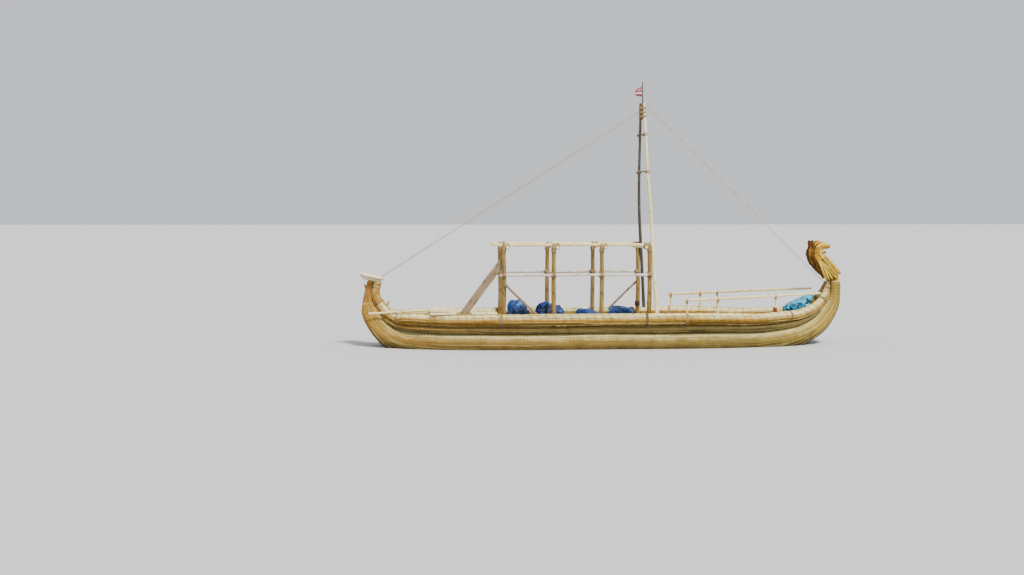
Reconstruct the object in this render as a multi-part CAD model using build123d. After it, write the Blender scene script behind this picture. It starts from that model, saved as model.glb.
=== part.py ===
from build123d import *
import math
import os

# Reed boat in millimetres. X runs to the bow, Y to port and Z up.
# Z = 0 is the flat underside of the main bundles. Afloat, the water stands at Z = 200.

LASH_GAP = 2
SEAT_GAP = 5
STEM_TOP_Z = 1440
STERN_CUT_Z = 1100

# Stations of the main bundles, stern to bow: the bundle's middle (x, z), its height and width
# across the section, and the radii of the side bundle and gunwale bundle seated on it.
HULL_STATIONS = [
    # x, z, height, width, side radius, gunwale radius
    (-4560, 1150, 150, 140, 0, 76),
    (-4556, 1072, 188, 150, 0, 82),
    (-4533, 891, 300, 190, 0, 88),
    (-4425, 680, 350, 270, 20, 100),
    (-4225, 470, 426, 380, 36, 105),
    (-3960, 335, 480, 510, 54, 105),
    (-3300, 262, 500, 720, 70, 106),
    (-2200, 250, 500, 880, 75, 110),
    (0, 250, 500, 900, 75, 110),
    (2200, 250, 500, 860, 75, 110),
    (3000, 255, 496, 740, 70, 106),
    (3480, 312, 480, 640, 64, 104),
    (3840, 405, 430, 530, 50, 100),
    (4155, 560, 410, 420, 36, 97),
    (4365, 745, 360, 320, 20, 92),
    (4530, 970, 280, 220, 0, 85),
    (4595, 1205, 210, 155, 0, 74),
    (4600, 1445, 200, 130, 0, 30),
]
# Spans of the table that curve, where a station is added halfway on a smooth line
CURVED_SPANS = (1, 2, 3, 4, 11, 12, 13, 14)
CORNER_SHARE = 0.98
SIDE_INSET_SHARE = 0.078
SIDE_LEAST_RADIUS = 20
# The gunwale bundles sit on the bundles below them between these, and at both ends
# they leave them: up to the cap at the stern, and to a point against the stem.
SEATED_XS = (-4540, 4370)
GUNWALE_STERN = [
    # x, y, z, radius
    (-4340, 68, 1515, 66),
    (-4398, 77, 1330, 74),
    (-4406, 83, 1180, 80),
    (-4378, 84, 1090, 81),
    (-4333, 88, 1014, 85),
]
GUNWALE_BOW = [
    (4330, 137, 1071, 84),
    (4424, 86, 1240, 62),
    (4460, 62, 1412, 34),
]

DECK_XS = (-3300, 3000)
DECK_MATS = {
    # name: (aft end, fore end, underside)
    "deck_mat_aft": (-3300, -2100, 514),
    "deck_mat_middle": (-2100, 950, 502),
    "deck_mat_fore": (950, 3000, 506),
}
DECK_EDGE_GAP = 8
DECK_TOP = 600
DECK_GROOVE = (115, 34, 17)  # spacing, width and depth of the furrows between its rolls
CORE_RADIUS = 60
CORE_Z = 437
CORE_ENDS = (-2700, 2700)

# Stern neck: x and z of its middle, its thickness fore and aft, and its width
NECK_STATIONS = [
    (-4546, STERN_CUT_Z, 146, 276),
    (-4548, 1180, 114, 262),
    (-4526, 1330, 98, 250),
    (-4478, 1540, 124, 244),
]
CAP_CENTRE = (-4492.5, 1525)
CAP_TILT = 13
CAP_BASE = -48
# Half section of the cap over its base: the lower ridge's foot, its brow and its rim, the groove
# between, the upper ridge's brow and its top, and the crown
CAP_PROFILE = {
    "foot": (165, CAP_BASE),
    "lower_brow": (199, -33.9),
    "lower_rim": (212, -10),
    "groove": (206, 0),
    "upper_rim": (238, 24),
    "upper_brow": (214, 48),
    "crown": (0, 60),
}

# Head line, from the stem up over the crown to the muzzle: x and z of the middle, how far the
# section leans from level in degrees, its thickness across the line, and its width
HEAD_NECK = [
    (4588, STEM_TOP_Z, 0, 210, 212),
    (4547, 1540, -30, 236, 240),
    (4450, 1635, -45, 260, 264),
    (4335, 1738, -46, 276, 280),
    (4240, 1850, -33, 284, 288),
    (4194, 1960, -8, 272, 284),
]
HEAD_SKULL = [HEAD_NECK[-1], (4208, 2062, 24, 240, 268), (4280, 2122, 66, 180, 240)]
UPPER_JAW = [
    HEAD_SKULL[-1],
    (4368, 2120, 95, 116, 192),
    (4448, 2106, 98, 76, 144),
    (4506, 2100, 94, 54, 100),
]
LOWER_JAW = [(4240, 1965, 60, 96, 190), (4340, 1992, 84, 66, 160), (4425, 1985, 96, 44, 112)]
EAR = (4136, 84, 2100)
EAR_RADII = (46, 14)
EAR_HEIGHT = 150
EAR_LEAN = -10
BEARD = [
    # x, y, z and radius of a sheaf's foot at the throat, then of its tip: one on either side
    [(4390, 44, 1918, 20), (4721, 60, 1557, 24)],
    [(4368, 100, 1903, 20), (4658, 118, 1587, 24)],
    [(4318, 155, 1872, 20), (4575, 147, 1562, 24)],
]

POST_Y = 604
POST_RADII = (42, 38)
# The four post stations, stern to bow
POST_XS = [-1985, -1040, -128, 785]
TOP_RAIL_Z = 2158
TOP_RAIL_RADII = (26, 25)
TOP_RAIL_ENDS = (-2180, 850)
MID_RAIL_Z = 1588
MID_RAIL_RADIUS = 24
MID_RAIL_ENDS = (-2060, 825)
CROSS_POLE_RADIUS = 28
CROSS_POLE_OVERHANG = 90
NOTCH = 5
POST_SHOULDER = 8

# Braces: top and foot (x, z) and radius
BRACES = {
    "starboard": ((-1975, 1430), (-1345, 830), 24),
    "port": ((800, 1410), (225, 850), 22),
}
BRACE_SPLAY = 30
# Raking plank: where its foot stands, where its middle line passes post 1, and its size
PLANK_FOOT_X = -2900
PLANK_TOP = (-2030, 1770)
PLANK_Y = -545
PLANK_SIZE = (1640, 28, 140)

MASTHEAD_Z = 4870
# Mast legs: x, y, z and radius at the gunwale, at half height and at the masthead
MAST_LEGS = {
    "starboard": [(905, -790, 800, 34), (836, -392, 2850, 30), (778, 22, MASTHEAD_Z, 24)],
    "port": [(955, 790, 800, 34), (775, 398, 2850, 30), (702, -22, MASTHEAD_Z, 24)],
}
RUNG_ZS = (3550, 4265)
RUNG_RADIUS = 13
RUNG_BACK = 41
RUNG_OVERHANG = 60
STAFF_X = 740
STAFF_RADII = (13, 10)
STAFF_ENDS = (4560, 5290)
FLAG_SIZE = (121, 48, 310)
FLAG_FOOT_Z = 4882

STAY_RADIUS = 6
STAY_HEAD_REACH = 62
STAYS = {
    # name: x, y and z of the foot, then y and z of the end at the masthead
    "forestay": ((4550, 0, 1246), (0, 4850)),
    "backstay_port": ((-4322, 60, 1522), (36, 4700)),
    "backstay_starboard": ((-4322, -60, 1522), (-36, 4700)),
}

# Bow rails: x, y, z and radius of three stations, then the x of the sticks under them
BOW_RAILS = {
    "starboard": (
        [(1440, -770, 1108, 26), (3260, -545, 1170, 25), (4262, -186, 1190, 20)],
        [1480, 2090, 3260],
    ),
    "port": (
        [(1440, 770, 1120, 26), (2900, 590, 1190, 25), (4210, 200, 1262, 20)],
        [1500, 2090, 2430],
    ),
}
STICK_FOOT_Z = 780
STICK_RADII = (20, 18)

STERN_BOARD_XS = (-3370, -3203, -3036)
STERN_BOARD_SIZE = (162, 1470, 28)
STERN_BOARD_Z = 857
GUNWALE_BOARD = ((-2592, -770, 863), (482, 300, 24))  # lowest corner and size
STERN_POLE = [(-4530, -318, 856, 19), (-3100, -322, 917, 16)]

COVER_YS = (20, 560)
COVER_SLOPE = 60
COVERS = {
    # name: (x ends, top)
    "cover_aft": ((-1880, -1430), 1050),
    "cover_middle": ((-1340, -700), 965),
    "cover_low": ((-560, -10), 890),
    "cover_fore": ((110, 690), 935),
}
BOW_COVER_HALF_WIDTH = 150
BOW_COVER = [
    # side view: x, z
    (3600, 640),
    (3860, 700),
    (4060, 800),
    (4225, 960),
    (4290, 1180),
    (4200, 1200),
    (3900, 1080),
    (3600, 940),
]


def smoothed(rows, spans):
    """Rows with one more, halfway on a smooth line, in each of the given spans."""
    made = []
    for index, row in enumerate(rows):
        made.append(row)
        if index in spans:
            near = zip(*rows[index - 1 : index + 3])
            made.append(tuple((9 * (b + c) - a - d) / 16 for a, b, c, d in near))
    return made


STATIONS = smoothed(HULL_STATIONS, CURVED_SPANS)


def station_run(index):
    """Way the hull runs at a station, from its neighbours on both sides."""
    before = STATIONS[max(index - 1, 0)]
    after = STATIONS[min(index + 1, len(STATIONS) - 1)]
    return Vector(after[0] - before[0], 0, after[1] - before[1]).normalized()


def resting(y, radius, support):
    """Height at which a round section at y lies on another, given as (y, height, radius)."""
    support_y, support_n, support_radius = support
    reach = radius + support_radius + SEAT_GAP
    return support_n + math.sqrt(reach**2 - (y - support_y) ** 2)


def seats(index):
    """Centres, in the station's section, of the round bundles that lie on the main one."""
    height, width, side_radius, gunwale_radius = STATIONS[index][2:]
    corner = CORNER_SHARE * min(width, height) / 2
    outer = width + LASH_GAP
    main_corner = (outer - corner, height / 2 - corner, corner)
    gunwale_y = max(outer - gunwale_radius, gunwale_radius + LASH_GAP)
    gunwale_n = resting(gunwale_y, gunwale_radius, main_corner)
    side = None
    if side_radius > 0:
        side_y = outer - side_radius - SIDE_INSET_SHARE * width
        side = (side_y, resting(side_y, side_radius, main_corner))
        gunwale_n = max(gunwale_n, resting(gunwale_y, gunwale_radius, (*side, side_radius)))
    return {"corner": corner, "side": side, "gunwale": (gunwale_y, gunwale_n)}


def centre_line(which, radius_column, indices):
    """Centres and radii (x, y, z, radius) of a seated round bundle at the given stations."""
    line = []
    for index in indices:
        x, z = STATIONS[index][:2]
        run = station_run(index)
        y, n = seats(index)[which]
        line.append((x - run.Z * n, y, z + run.X * n, STATIONS[index][radius_column]))
    return line


def chain(sections):
    """One solid of the short straight-sided lofts between neighbouring sections."""
    return Part() + [loft(list(ends), ruled=True) for ends in zip(sections, sections[1:])]


def pole(stations):
    """Round pole through (x, y, z, radius) stations, tapered and, with three of them, bent."""
    points = [Vector(*station[:3]) for station in stations]
    sections = []
    for index, station in enumerate(stations):
        run = points[min(index + 1, len(points) - 1)] - points[max(index - 1, 0)]
        sections.append(Plane(origin=points[index], z_dir=run.normalized()) * Circle(station[3]))
    return chain(sections)


def quartered_circle(radius):
    """Round face of four arcs, so that the sections of a long bundle line up without a twist."""
    return make_face([CenterArc((0, 0), radius, start, 90) for start in (0, 90, 180, 270)])


def round_bundle(line):
    """Bundle of round section along (x, y, z, radius) stations, its seams kept to port."""
    points = [Vector(*station[:3]) for station in line]
    sections = []
    for index, station in enumerate(line):
        run = (points[min(index + 1, len(points) - 1)] - points[max(index - 1, 0)]).normalized()
        port = Vector(0, 1, 0)
        across = (port - run * port.dot(run)).normalized()
        plane = Plane(origin=points[index], x_dir=across, z_dir=run)
        sections.append(plane * quartered_circle(station[3]))
    return chain(sections)


def main_bundle():
    """Port main bundle: a fat rounded reed roll that narrows and sweeps up at both ends."""
    sections = []
    for index, (x, z, height, width, _, _) in enumerate(STATIONS):
        plane = Plane(origin=(x, 0, z), x_dir=(0, 1, 0), z_dir=station_run(index))
        outline = Pos(LASH_GAP + width / 2, 0) * RectangleRounded(width, height, seats(index)["corner"])
        sections.append(plane * outline)
    return chain(sections)


def leaning_roll(stations):
    """Roll of rounded section along the head's line: (x, z, lean, thickness, width) stations."""
    sections = []
    for x, z, lean, thickness, width in stations:
        outline = RectangleRounded(thickness, width, CORNER_SHARE * min(thickness, width) / 2)
        sections.append(Pos(x, 0, z) * Rot(0, lean, 0) * outline)
    return chain(sections)


def board(corner, size):
    """Sawn board with its lowest corner at the given place."""
    return Pos(*corner) * Box(*size, align=(Align.MIN, Align.MIN, Align.MIN))


def heap(x_ends, y_ends, z_ends, slope):
    """Folded cover: a rounded base that leans in by slope to a smaller top."""
    length, width = x_ends[1] - x_ends[0], y_ends[1] - y_ends[0]
    middle = (sum(x_ends) / 2, sum(y_ends) / 2)
    low = Pos(*middle, z_ends[0]) * RectangleRounded(length, width, slope)
    high = Pos(*middle, z_ends[1]) * RectangleRounded(length - 2 * slope, width - 2 * slope, slope / 2)
    return loft([low, high], ruled=True)


def largest(shape):
    """The biggest of the solids that a cut leaves."""
    return shape.solids().sort_by(SortBy.VOLUME)[-1]


def pair(name, solid):
    """A port piece and its mirror image to starboard."""
    return {f"{name}_port": solid, f"{name}_starboard": mirror(solid, about=Plane.XZ)}


def share_between(value, start, end):
    """How far a value lies from start to end, as a share."""
    return (value - start) / (end - start)


def along(stations, z):
    """Centre (x, y) of a three-station pole at a height, on the parabola through its stations."""
    (x0, y0, z0), (x1, y1, z1), (x2, y2, z2) = [station[:3] for station in stations]
    a = (z - z1) * (z - z2) / ((z0 - z1) * (z0 - z2))
    b = (z - z0) * (z - z2) / ((z1 - z0) * (z1 - z2))
    c = (z - z0) * (z - z1) / ((z2 - z0) * (z2 - z1))
    return a * x0 + b * x1 + c * x2, a * y0 + b * y1 + c * y2


def above(z, x=0):
    """Everything above a height, round the given x, to cut with."""
    return Pos(x, 0, z) * Box(1200, 2000, 800, align=(Align.CENTER, Align.CENTER, Align.MIN))


def hull():
    """The bundles that float the boat, with the mat of reeds laid over them as a deck."""
    main = main_bundle() - above(STERN_CUT_Z, STATIONS[0][0]) - above(STEM_TOP_Z, STATIONS[-1][0])
    pieces = pair("main_bundle", main)
    sided = [index for index, row in enumerate(STATIONS) if row[4] >= SIDE_LEAST_RADIUS]
    pieces.update(pair("side_bundle", round_bundle(centre_line("side", 4, sided))))
    seated = [index for index, row in enumerate(STATIONS) if SEATED_XS[0] <= row[0] <= SEATED_XS[1]]
    gunwale = round_bundle(GUNWALE_STERN + centre_line("gunwale", 5, seated) + GUNWALE_BOW)
    pieces.update(pair("gunwale_bundle", gunwale - cap_space()))
    core = pole([(x, 0, CORE_Z, CORE_RADIUS) for x in CORE_ENDS])
    pieces["core_bundle"] = core - pieces["main_bundle_port"] - pieces["main_bundle_starboard"]
    pieces.update(deck_mats())
    return pieces


def deck_mats():
    """Three mats of reed rolls laid lengthwise between the gunwales, on the main bundles."""
    corners = []
    for index, (x, _, _, _, side_radius, gunwale_radius) in enumerate(STATIONS):
        if DECK_XS[0] <= x <= DECK_XS[1]:
            layout = seats(index)
            inner = min(layout["side"][0] - side_radius, layout["gunwale"][0] - gunwale_radius)
            corners.append((x, inner - DECK_EDGE_GAP))
    corners += [(x, -y) for x, y in reversed(corners)]
    outline = make_face(Polyline(*corners, close=True))
    spacing, width, depth = DECK_GROOVE
    furrow = make_face(Polyline((-width / 2, 0), (width / 2, 0), (0, -depth), close=True))
    count = math.ceil(max(y for _, y in corners) / spacing)
    furrow_ys = [(number + 0.5) * spacing for number in range(-count, count)]
    pieces = {}
    for name, (start, end, underside) in DECK_MATS.items():
        window = Pos((start + end) / 2, 0) * Rectangle(end - start, 4000)
        mat = extrude(Pos(0, 0, underside) * (outline & window), DECK_TOP - underside)
        for y in furrow_ys:
            plane = Plane(origin=(start, y, DECK_TOP), x_dir=(0, 1, 0), z_dir=(1, 0, 0))
            mat -= extrude(plane * furrow, end - start)
        pieces[name] = mat
    return pieces


def cap_plane(offset=0):
    """Tilted plane of the stern cap, raised by offset along its own axis."""
    x, z = CAP_CENTRE
    return Plane(origin=(x, 0, z)).rotated((0, CAP_TILT, 0)).offset(offset)


def cap_space():
    """Everything above the stern cap's lower face, to trim what meets it."""
    return cap_plane(CAP_BASE) * Box(900, 900, 500, align=(Align.CENTER, Align.CENTER, Align.MIN))


def stern():
    """The neck on the main bundles' stern ends and the flared cap bound over its top."""
    sections = []
    for x, z, thickness, width in NECK_STATIONS:
        outline = RectangleRounded(thickness, width, CORNER_SHARE * thickness / 2)
        sections.append(Pos(x, 0, z) * outline)
    neck = chain(sections) - cap_space()
    at = CAP_PROFILE
    edges = [
        Line((0, CAP_BASE), at["foot"]),
        ThreePointArc(at["foot"], at["lower_brow"], at["lower_rim"]),
        Line(at["lower_rim"], at["groove"]),
        ThreePointArc(at["groove"], at["upper_rim"], at["upper_brow"]),
        Line(at["upper_brow"], at["crown"]),
        Line(at["crown"], (0, CAP_BASE)),
    ]
    outline = make_face([Plane.XZ * edge for edge in edges])
    return {"stern_neck": neck, "stern_cap": cap_plane() * revolve(outline, Axis.Z)}


def bow_head():
    """The animal head of bound reeds that looks forward from the stem's top."""
    neck = leaning_roll(HEAD_NECK)
    skull = leaning_roll(HEAD_SKULL) - neck
    upper_jaw = leaning_roll(UPPER_JAW) - skull
    lower_jaw = largest(leaning_roll(LOWER_JAW) - neck - skull - upper_jaw)
    ear = Pos(*EAR) * Rot(0, EAR_LEAN, 0)
    ear *= Cone(*EAR_RADII, EAR_HEIGHT, align=(Align.CENTER, Align.CENTER, Align.MIN))
    ear = largest(ear - skull - neck)
    sheaves = [round_bundle(ends) for ends in BEARD]
    return {
        "head_neck": neck,
        "head_skull": skull,
        "head_upper_jaw": upper_jaw,
        "head_lower_jaw": lower_jaw,
        "head_ears": Compound([ear, mirror(ear, about=Plane.XZ)]),
        "head_beard": Compound(sheaves + [mirror(sheaf, about=Plane.XZ) for sheaf in sheaves]),
    }


def timber_frame():
    """Posts, rails and cross poles of the open shelter amidships."""
    pieces = {}
    for side, sign in (("port", 1), ("starboard", -1)):
        y = sign * POST_Y
        ends = zip(TOP_RAIL_ENDS, TOP_RAIL_RADII)
        top_rail = pole([(x, y, TOP_RAIL_Z, radius) for x, radius in ends])
        rail_y = y + sign * (POST_RADII[1] + MID_RAIL_RADIUS - NOTCH)
        mid_rail = pole([(x, rail_y, MID_RAIL_Z, MID_RAIL_RADIUS) for x in MID_RAIL_ENDS])
        for number, x in enumerate(POST_XS, 1):
            post = pole([(x, y, DECK_TOP, POST_RADII[0]), (x, y, TOP_RAIL_Z, POST_RADII[1])])
            post = largest(post - top_rail - above(TOP_RAIL_Z - POST_SHOULDER, x))
            mid_rail -= post
            pieces[f"post_{number}_{side}"] = post
        pieces[f"top_rail_{side}"] = top_rail
        pieces[f"mid_rail_{side}"] = mid_rail
    cross_z = TOP_RAIL_Z - TOP_RAIL_RADII[0] - CROSS_POLE_RADIUS + NOTCH
    reach = POST_Y + CROSS_POLE_OVERHANG
    for number, x in enumerate(POST_XS, 1):
        # The foremost one lies aft of its posts, clear of the mast's legs.
        x += (POST_RADII[0] + CROSS_POLE_RADIUS - 2) * (1 if number < len(POST_XS) else -1)
        cross = pole([(x, y, cross_z, CROSS_POLE_RADIUS) for y in (-reach, reach)])
        for side in ("port", "starboard"):
            cross -= pieces[f"top_rail_{side}"]
        pieces[f"cross_pole_{number}"] = cross
    return pieces


def mast(gunwales):
    """Two-legged mast, its rungs and the staff lashed in its crossing."""
    legs = {side: largest(pole(stations) - gunwales[side]) for side, stations in MAST_LEGS.items()}
    pieces = {f"mast_leg_{side}": leg for side, leg in legs.items()}
    for number, z in enumerate(RUNG_ZS, 1):
        (x0, y0), (x1, y1) = [along(stations, z) for stations in MAST_LEGS.values()]
        ends = (x0 - RUNG_BACK, y0 - RUNG_OVERHANG), (x1 - RUNG_BACK, y1 + RUNG_OVERHANG)
        rung = pole([(x, y, z, RUNG_RADIUS) for x, y in ends])
        pieces[f"mast_rung_{number}"] = largest(rung - legs["starboard"] - legs["port"])
    staff = pole([(STAFF_X, 0, z, radius) for z, radius in zip(STAFF_ENDS, STAFF_RADII)])
    pieces["flagstaff"] = largest(staff - legs["starboard"] - legs["port"])
    return pieces


def stays(parts):
    """The forestay to the cleft of the stem and the two backstays to the stern cap."""
    pieces = {}
    fixed = [f"{name}_{side}" for name in ("main_bundle", "mast_leg") for side in ("port", "starboard")]
    for name, (foot, (head_y, head_z)) in STAYS.items():
        head_x = STAFF_X + math.copysign(STAY_HEAD_REACH, foot[0])
        stay = pole([(*foot, STAY_RADIUS), (head_x, head_y, head_z, STAY_RADIUS)])
        for other in (*fixed, "stern_cap"):
            stay -= parts[other]
        pieces[name] = largest(stay)
    return pieces


def braces(parts):
    """Slanting sticks and the weathered plank that stiffen the shelter's frame."""
    pieces = {}
    for side, ((top_x, top_z), (foot_x, foot_z), radius) in BRACES.items():
        sign = 1 if side == "port" else -1
        top_y = sign * (POST_Y + POST_RADII[0] + BRACES["starboard"][2])
        foot_y = top_y + sign * BRACE_SPLAY
        stick = pole([(top_x, top_y, top_z, radius), (foot_x, foot_y, foot_z, radius)])
        pieces[f"brace_{side}"] = stick - parts[f"gunwale_bundle_{side}"]
    length, thickness, width = PLANK_SIZE
    rise, run = PLANK_TOP[1] - DECK_TOP, PLANK_TOP[0] - PLANK_FOOT_X
    lean = math.degrees(math.atan2(rise, run))
    plank = Rot(0, -lean, 0) * Pos(length / 2 - width, 0, 0) * Box(length, thickness, width)
    upper_half = Box(4000, 400, 4000, align=(Align.CENTER, Align.CENTER, Align.MIN))
    pieces["raking_plank"] = Pos(PLANK_FOOT_X, PLANK_Y, DECK_TOP) * (plank & upper_half)
    return pieces


def stern_gear(parts):
    """Boards laid over the gunwales aft of the shelter, and the pole that lies beside them."""
    pieces = {}
    port, starboard = parts["gunwale_bundle_port"], parts["gunwale_bundle_starboard"]
    for number, x in enumerate(STERN_BOARD_XS, 1):
        laid = board((x, -STERN_BOARD_SIZE[1] / 2, STERN_BOARD_Z), STERN_BOARD_SIZE)
        pieces[f"stern_board_{number}"] = laid - port - starboard
    pieces["gunwale_board"] = board(*GUNWALE_BOARD)
    pieces["stern_pole"] = largest(pole(STERN_POLE) - starboard)
    return pieces


def covers(parts):
    """Folded awning covers on the deck, the one in the bow, and the limp flag."""
    pieces = {}
    for name, (x_ends, top) in COVERS.items():
        pieces[name] = heap(x_ends, COVER_YS, (DECK_TOP, top), COVER_SLOPE)
    outline = make_face(Plane.XZ * Polyline(*BOW_COVER, close=True))
    bow = extrude(outline, BOW_COVER_HALF_WIDTH, both=True)
    for name in ("main_bundle", "gunwale_bundle"):
        for side in ("port", "starboard"):
            bow -= parts[f"{name}_{side}"]
    pieces["cover_bow"] = largest(bow)
    length, width, _ = FLAG_SIZE
    hoist_x = STAFF_X - STAFF_RADII[0] - 1
    pieces["flag"] = board((hoist_x - length, -width / 2, FLAG_FOOT_Z), FLAG_SIZE)
    return pieces


def bow_rails(gunwales):
    """Low rails on sticks pushed into the gunwales, from the mast to the stem."""
    pieces = {}
    for side, (stations, stick_xs) in BOW_RAILS.items():
        rail = pole(stations) - gunwales[side]
        (x0, y0, z0, _), (x1, y1, z1, _) = stations[:2]
        sticks = []
        for x in stick_xs:
            share = share_between(x, x0, x1)
            y, z = y0 + share * (y1 - y0), z0 + share * (z1 - z0)
            stick = pole([(x, y, STICK_FOOT_Z, STICK_RADII[0]), (x, y, z, STICK_RADII[1])])
            sticks.append(largest(stick - gunwales[side] - rail))
        pieces[f"bow_rail_{side}"] = rail
        pieces[f"bow_rail_sticks_{side}"] = Compound(sticks)
    return pieces


parts = hull()
gunwales = {side: parts[f"gunwale_bundle_{side}"] for side in ("port", "starboard")}
for group in (stern(), bow_head(), timber_frame(), mast(gunwales), bow_rails(gunwales)):
    parts.update(group)
for group in (stays, braces, stern_gear, covers):
    parts.update(group(parts))

os.makedirs("parts", exist_ok=True)
for name, solid in parts.items():
    export_step(solid, f"parts/{name}.step")
    print(name, len(solid.solids()), round(solid.volume / 1e6, 2), flush=True)
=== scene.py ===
"""Finish of the reed boat: bound reeds, cords, poles, cloth, and the stage it is seen on.

Metres, X to the bow, Y to port, Z up. The water stands at WATER_Z.
"""

import math
import random

import bmesh
import bpy
import numpy as np
from bpy.props import FloatProperty, FloatVectorProperty, IntProperty, PointerProperty
from mathutils import Matrix, Vector, noise


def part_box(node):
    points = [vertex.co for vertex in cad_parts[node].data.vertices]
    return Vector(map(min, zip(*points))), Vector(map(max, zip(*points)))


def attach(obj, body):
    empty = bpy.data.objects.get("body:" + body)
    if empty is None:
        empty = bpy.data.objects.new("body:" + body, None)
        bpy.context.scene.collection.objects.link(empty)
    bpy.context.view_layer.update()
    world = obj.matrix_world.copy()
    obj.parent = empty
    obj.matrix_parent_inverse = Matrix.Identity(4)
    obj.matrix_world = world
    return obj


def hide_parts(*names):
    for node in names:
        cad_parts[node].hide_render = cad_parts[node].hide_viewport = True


bl_info = {
    "name": "Reed boat",
    "version": (1, 0, 0),
    "blender": (4, 5, 0),
    "location": "3D View > Sidebar > Reed boat",
    "description": "Bound reeds, timber, cords and cloth of a lake reed boat",
    "category": "Add Mesh",
}

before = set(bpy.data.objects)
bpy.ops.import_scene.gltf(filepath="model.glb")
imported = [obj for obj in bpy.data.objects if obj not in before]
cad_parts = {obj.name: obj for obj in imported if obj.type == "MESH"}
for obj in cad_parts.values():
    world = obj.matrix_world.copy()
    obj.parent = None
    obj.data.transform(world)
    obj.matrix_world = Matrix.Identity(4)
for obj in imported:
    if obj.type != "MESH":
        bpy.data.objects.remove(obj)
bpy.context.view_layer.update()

WATER_Z = 0.2
SIDES = {"port": 1, "starboard": -1}

# Stations of the hull, stern to bow
HULL_STATIONS = [
    # x, z, height, width, side bundle's radius, gunwale bundle's radius
    (-4.560, 1.150, 0.150, 0.140, 0.000, 0.076),
    (-4.556, 1.072, 0.188, 0.150, 0.000, 0.082),
    (-4.533, 0.891, 0.300, 0.190, 0.000, 0.088),
    (-4.425, 0.680, 0.350, 0.270, 0.020, 0.100),
    (-4.225, 0.470, 0.426, 0.380, 0.036, 0.105),
    (-3.960, 0.335, 0.480, 0.510, 0.054, 0.105),
    (-3.300, 0.262, 0.500, 0.720, 0.070, 0.106),
    (-2.200, 0.250, 0.500, 0.880, 0.075, 0.110),
    (0.000, 0.250, 0.500, 0.900, 0.075, 0.110),
    (2.200, 0.250, 0.500, 0.860, 0.075, 0.110),
    (3.000, 0.255, 0.496, 0.740, 0.070, 0.106),
    (3.480, 0.312, 0.480, 0.640, 0.064, 0.104),
    (3.840, 0.405, 0.430, 0.530, 0.050, 0.100),
    (4.155, 0.560, 0.410, 0.420, 0.036, 0.097),
    (4.365, 0.745, 0.360, 0.320, 0.020, 0.092),
    (4.530, 0.970, 0.280, 0.220, 0.000, 0.085),
    (4.595, 1.205, 0.210, 0.155, 0.000, 0.074),
    (4.600, 1.445, 0.200, 0.130, 0.000, 0.030),
]
# Spans that curve get one more station halfway.
CURVED_SPANS = (1, 2, 3, 4, 11, 12, 13, 14)
STERN_CUT_Z = 1.1
# Gaps between bundles, and shares of a section's height or width
LASH_GAP = 0.002
SEAT_GAP = 0.005
CORNER_SHARE = 0.98
SIDE_INSET_SHARE = 0.078
SIDE_LEAST_RADIUS = 0.02
# The gunwale bundles are seated between these. At both ends they run free: up to the stern cap's
# underside, and to a point against the stem.
SEATED_XS = (-4.54, 4.37)
GUNWALE_STERN = [
    # x, z, y, radius
    (-4.363, 1.442, 0.072, 0.069),
    (-4.398, 1.330, 0.077, 0.074),
    (-4.406, 1.180, 0.083, 0.080),
    (-4.378, 1.090, 0.084, 0.081),
    (-4.333, 1.014, 0.088, 0.085),
]
GUNWALE_BOW = [
    # x, z, y, radius
    (4.330, 1.071, 0.137, 0.084),
    (4.424, 1.240, 0.086, 0.062),
    (4.460, 1.412, 0.062, 0.034),
]

# Run past which a gunwale or side bundle has left its upright start at the stern
GUNWALE_FLAT_RUN = 0.9
SIDE_FLAT_RUN = 0.2
SIDE_PITCH = 0.11
# Half the run over which a bundle's direction is read
WAY_REACH = 0.01
# Corner radius at which a bundle swells in full, and width of a cord's pinch in pitches
FULL_CORNER = 0.245
PINCH_SHARE = 0.2
# Step between turns that lie side by side, in radii of the rope
TURN_STEP = 2.05
CROSSED_TURN_STEP = 2.1
# How far the middle of a wound cord or rope stands off what it binds, in radii
CORD_LIFT = 0.7
ROPE_LIFT = 0.8

# Deck
ROLL_SPACING = 0.115
DECK_TOP = 0.6

# Shelter. Each cross pole lies just forward of its posts, and the foremost just aft of them.
POST_XS = (-1.985, -1.040, -0.128, 0.785)
POST_Y = 0.604
CROSS_SHIFT = 0.068
CROSS_POLE_XS = (*(x + CROSS_SHIFT for x in POST_XS[:3]), POST_XS[3] - CROSS_SHIFT)
TOP_RAIL_Z = 2.158
MID_RAIL_Z = 1.588
MID_RAIL_OUT = 0.057

# Mast. Its rungs are tied to the after side of its legs.
STAFF_X = 0.74
MASTHEAD_Z = 4.87
RUNG_ZS = (3.55, 4.265)
RUNG_AFT = 0.041


# Numbers along smooth runs


class Run:
    """Smooth run through rows of numbers whose first columns are a place."""

    def __init__(self, rows, place_columns):
        self.rows = np.array(rows, float)
        steps = np.linalg.norm(np.diff(self.rows[:, :place_columns], axis=0), axis=1)
        self.knots = np.concatenate([[0.0], np.cumsum(steps)])
        self.slopes = np.gradient(self.rows, self.knots, axis=0)
        self.length = self.knots[-1]

    def at(self, run):
        """Rows at the given distances along the run."""
        run = np.atleast_1d(np.asarray(run, float))
        index = np.clip(np.searchsorted(self.knots, run, side="right") - 1, 0, len(self.knots) - 2)
        step = (self.knots[index + 1] - self.knots[index])[..., None]
        t = (run - self.knots[index])[..., None] / step
        low, high = self.rows[index], self.rows[index + 1]
        rise, fall = self.slopes[index] * step, self.slopes[index + 1] * step
        square, cube = t * t, t * t * t
        return (
            (2 * cube - 3 * square + 1) * low
            + (cube - 2 * square + t) * rise
            + (3 * square - 2 * cube) * high
            + (cube - square) * fall
        )

    def distance(self, column, value, low=0.0):
        """Distance along the run, past low, where a column passes a value."""
        span = np.linspace(low, self.length, 2000)
        return span[np.argmin(np.abs(self.at(span)[:, column] - value))]


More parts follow.
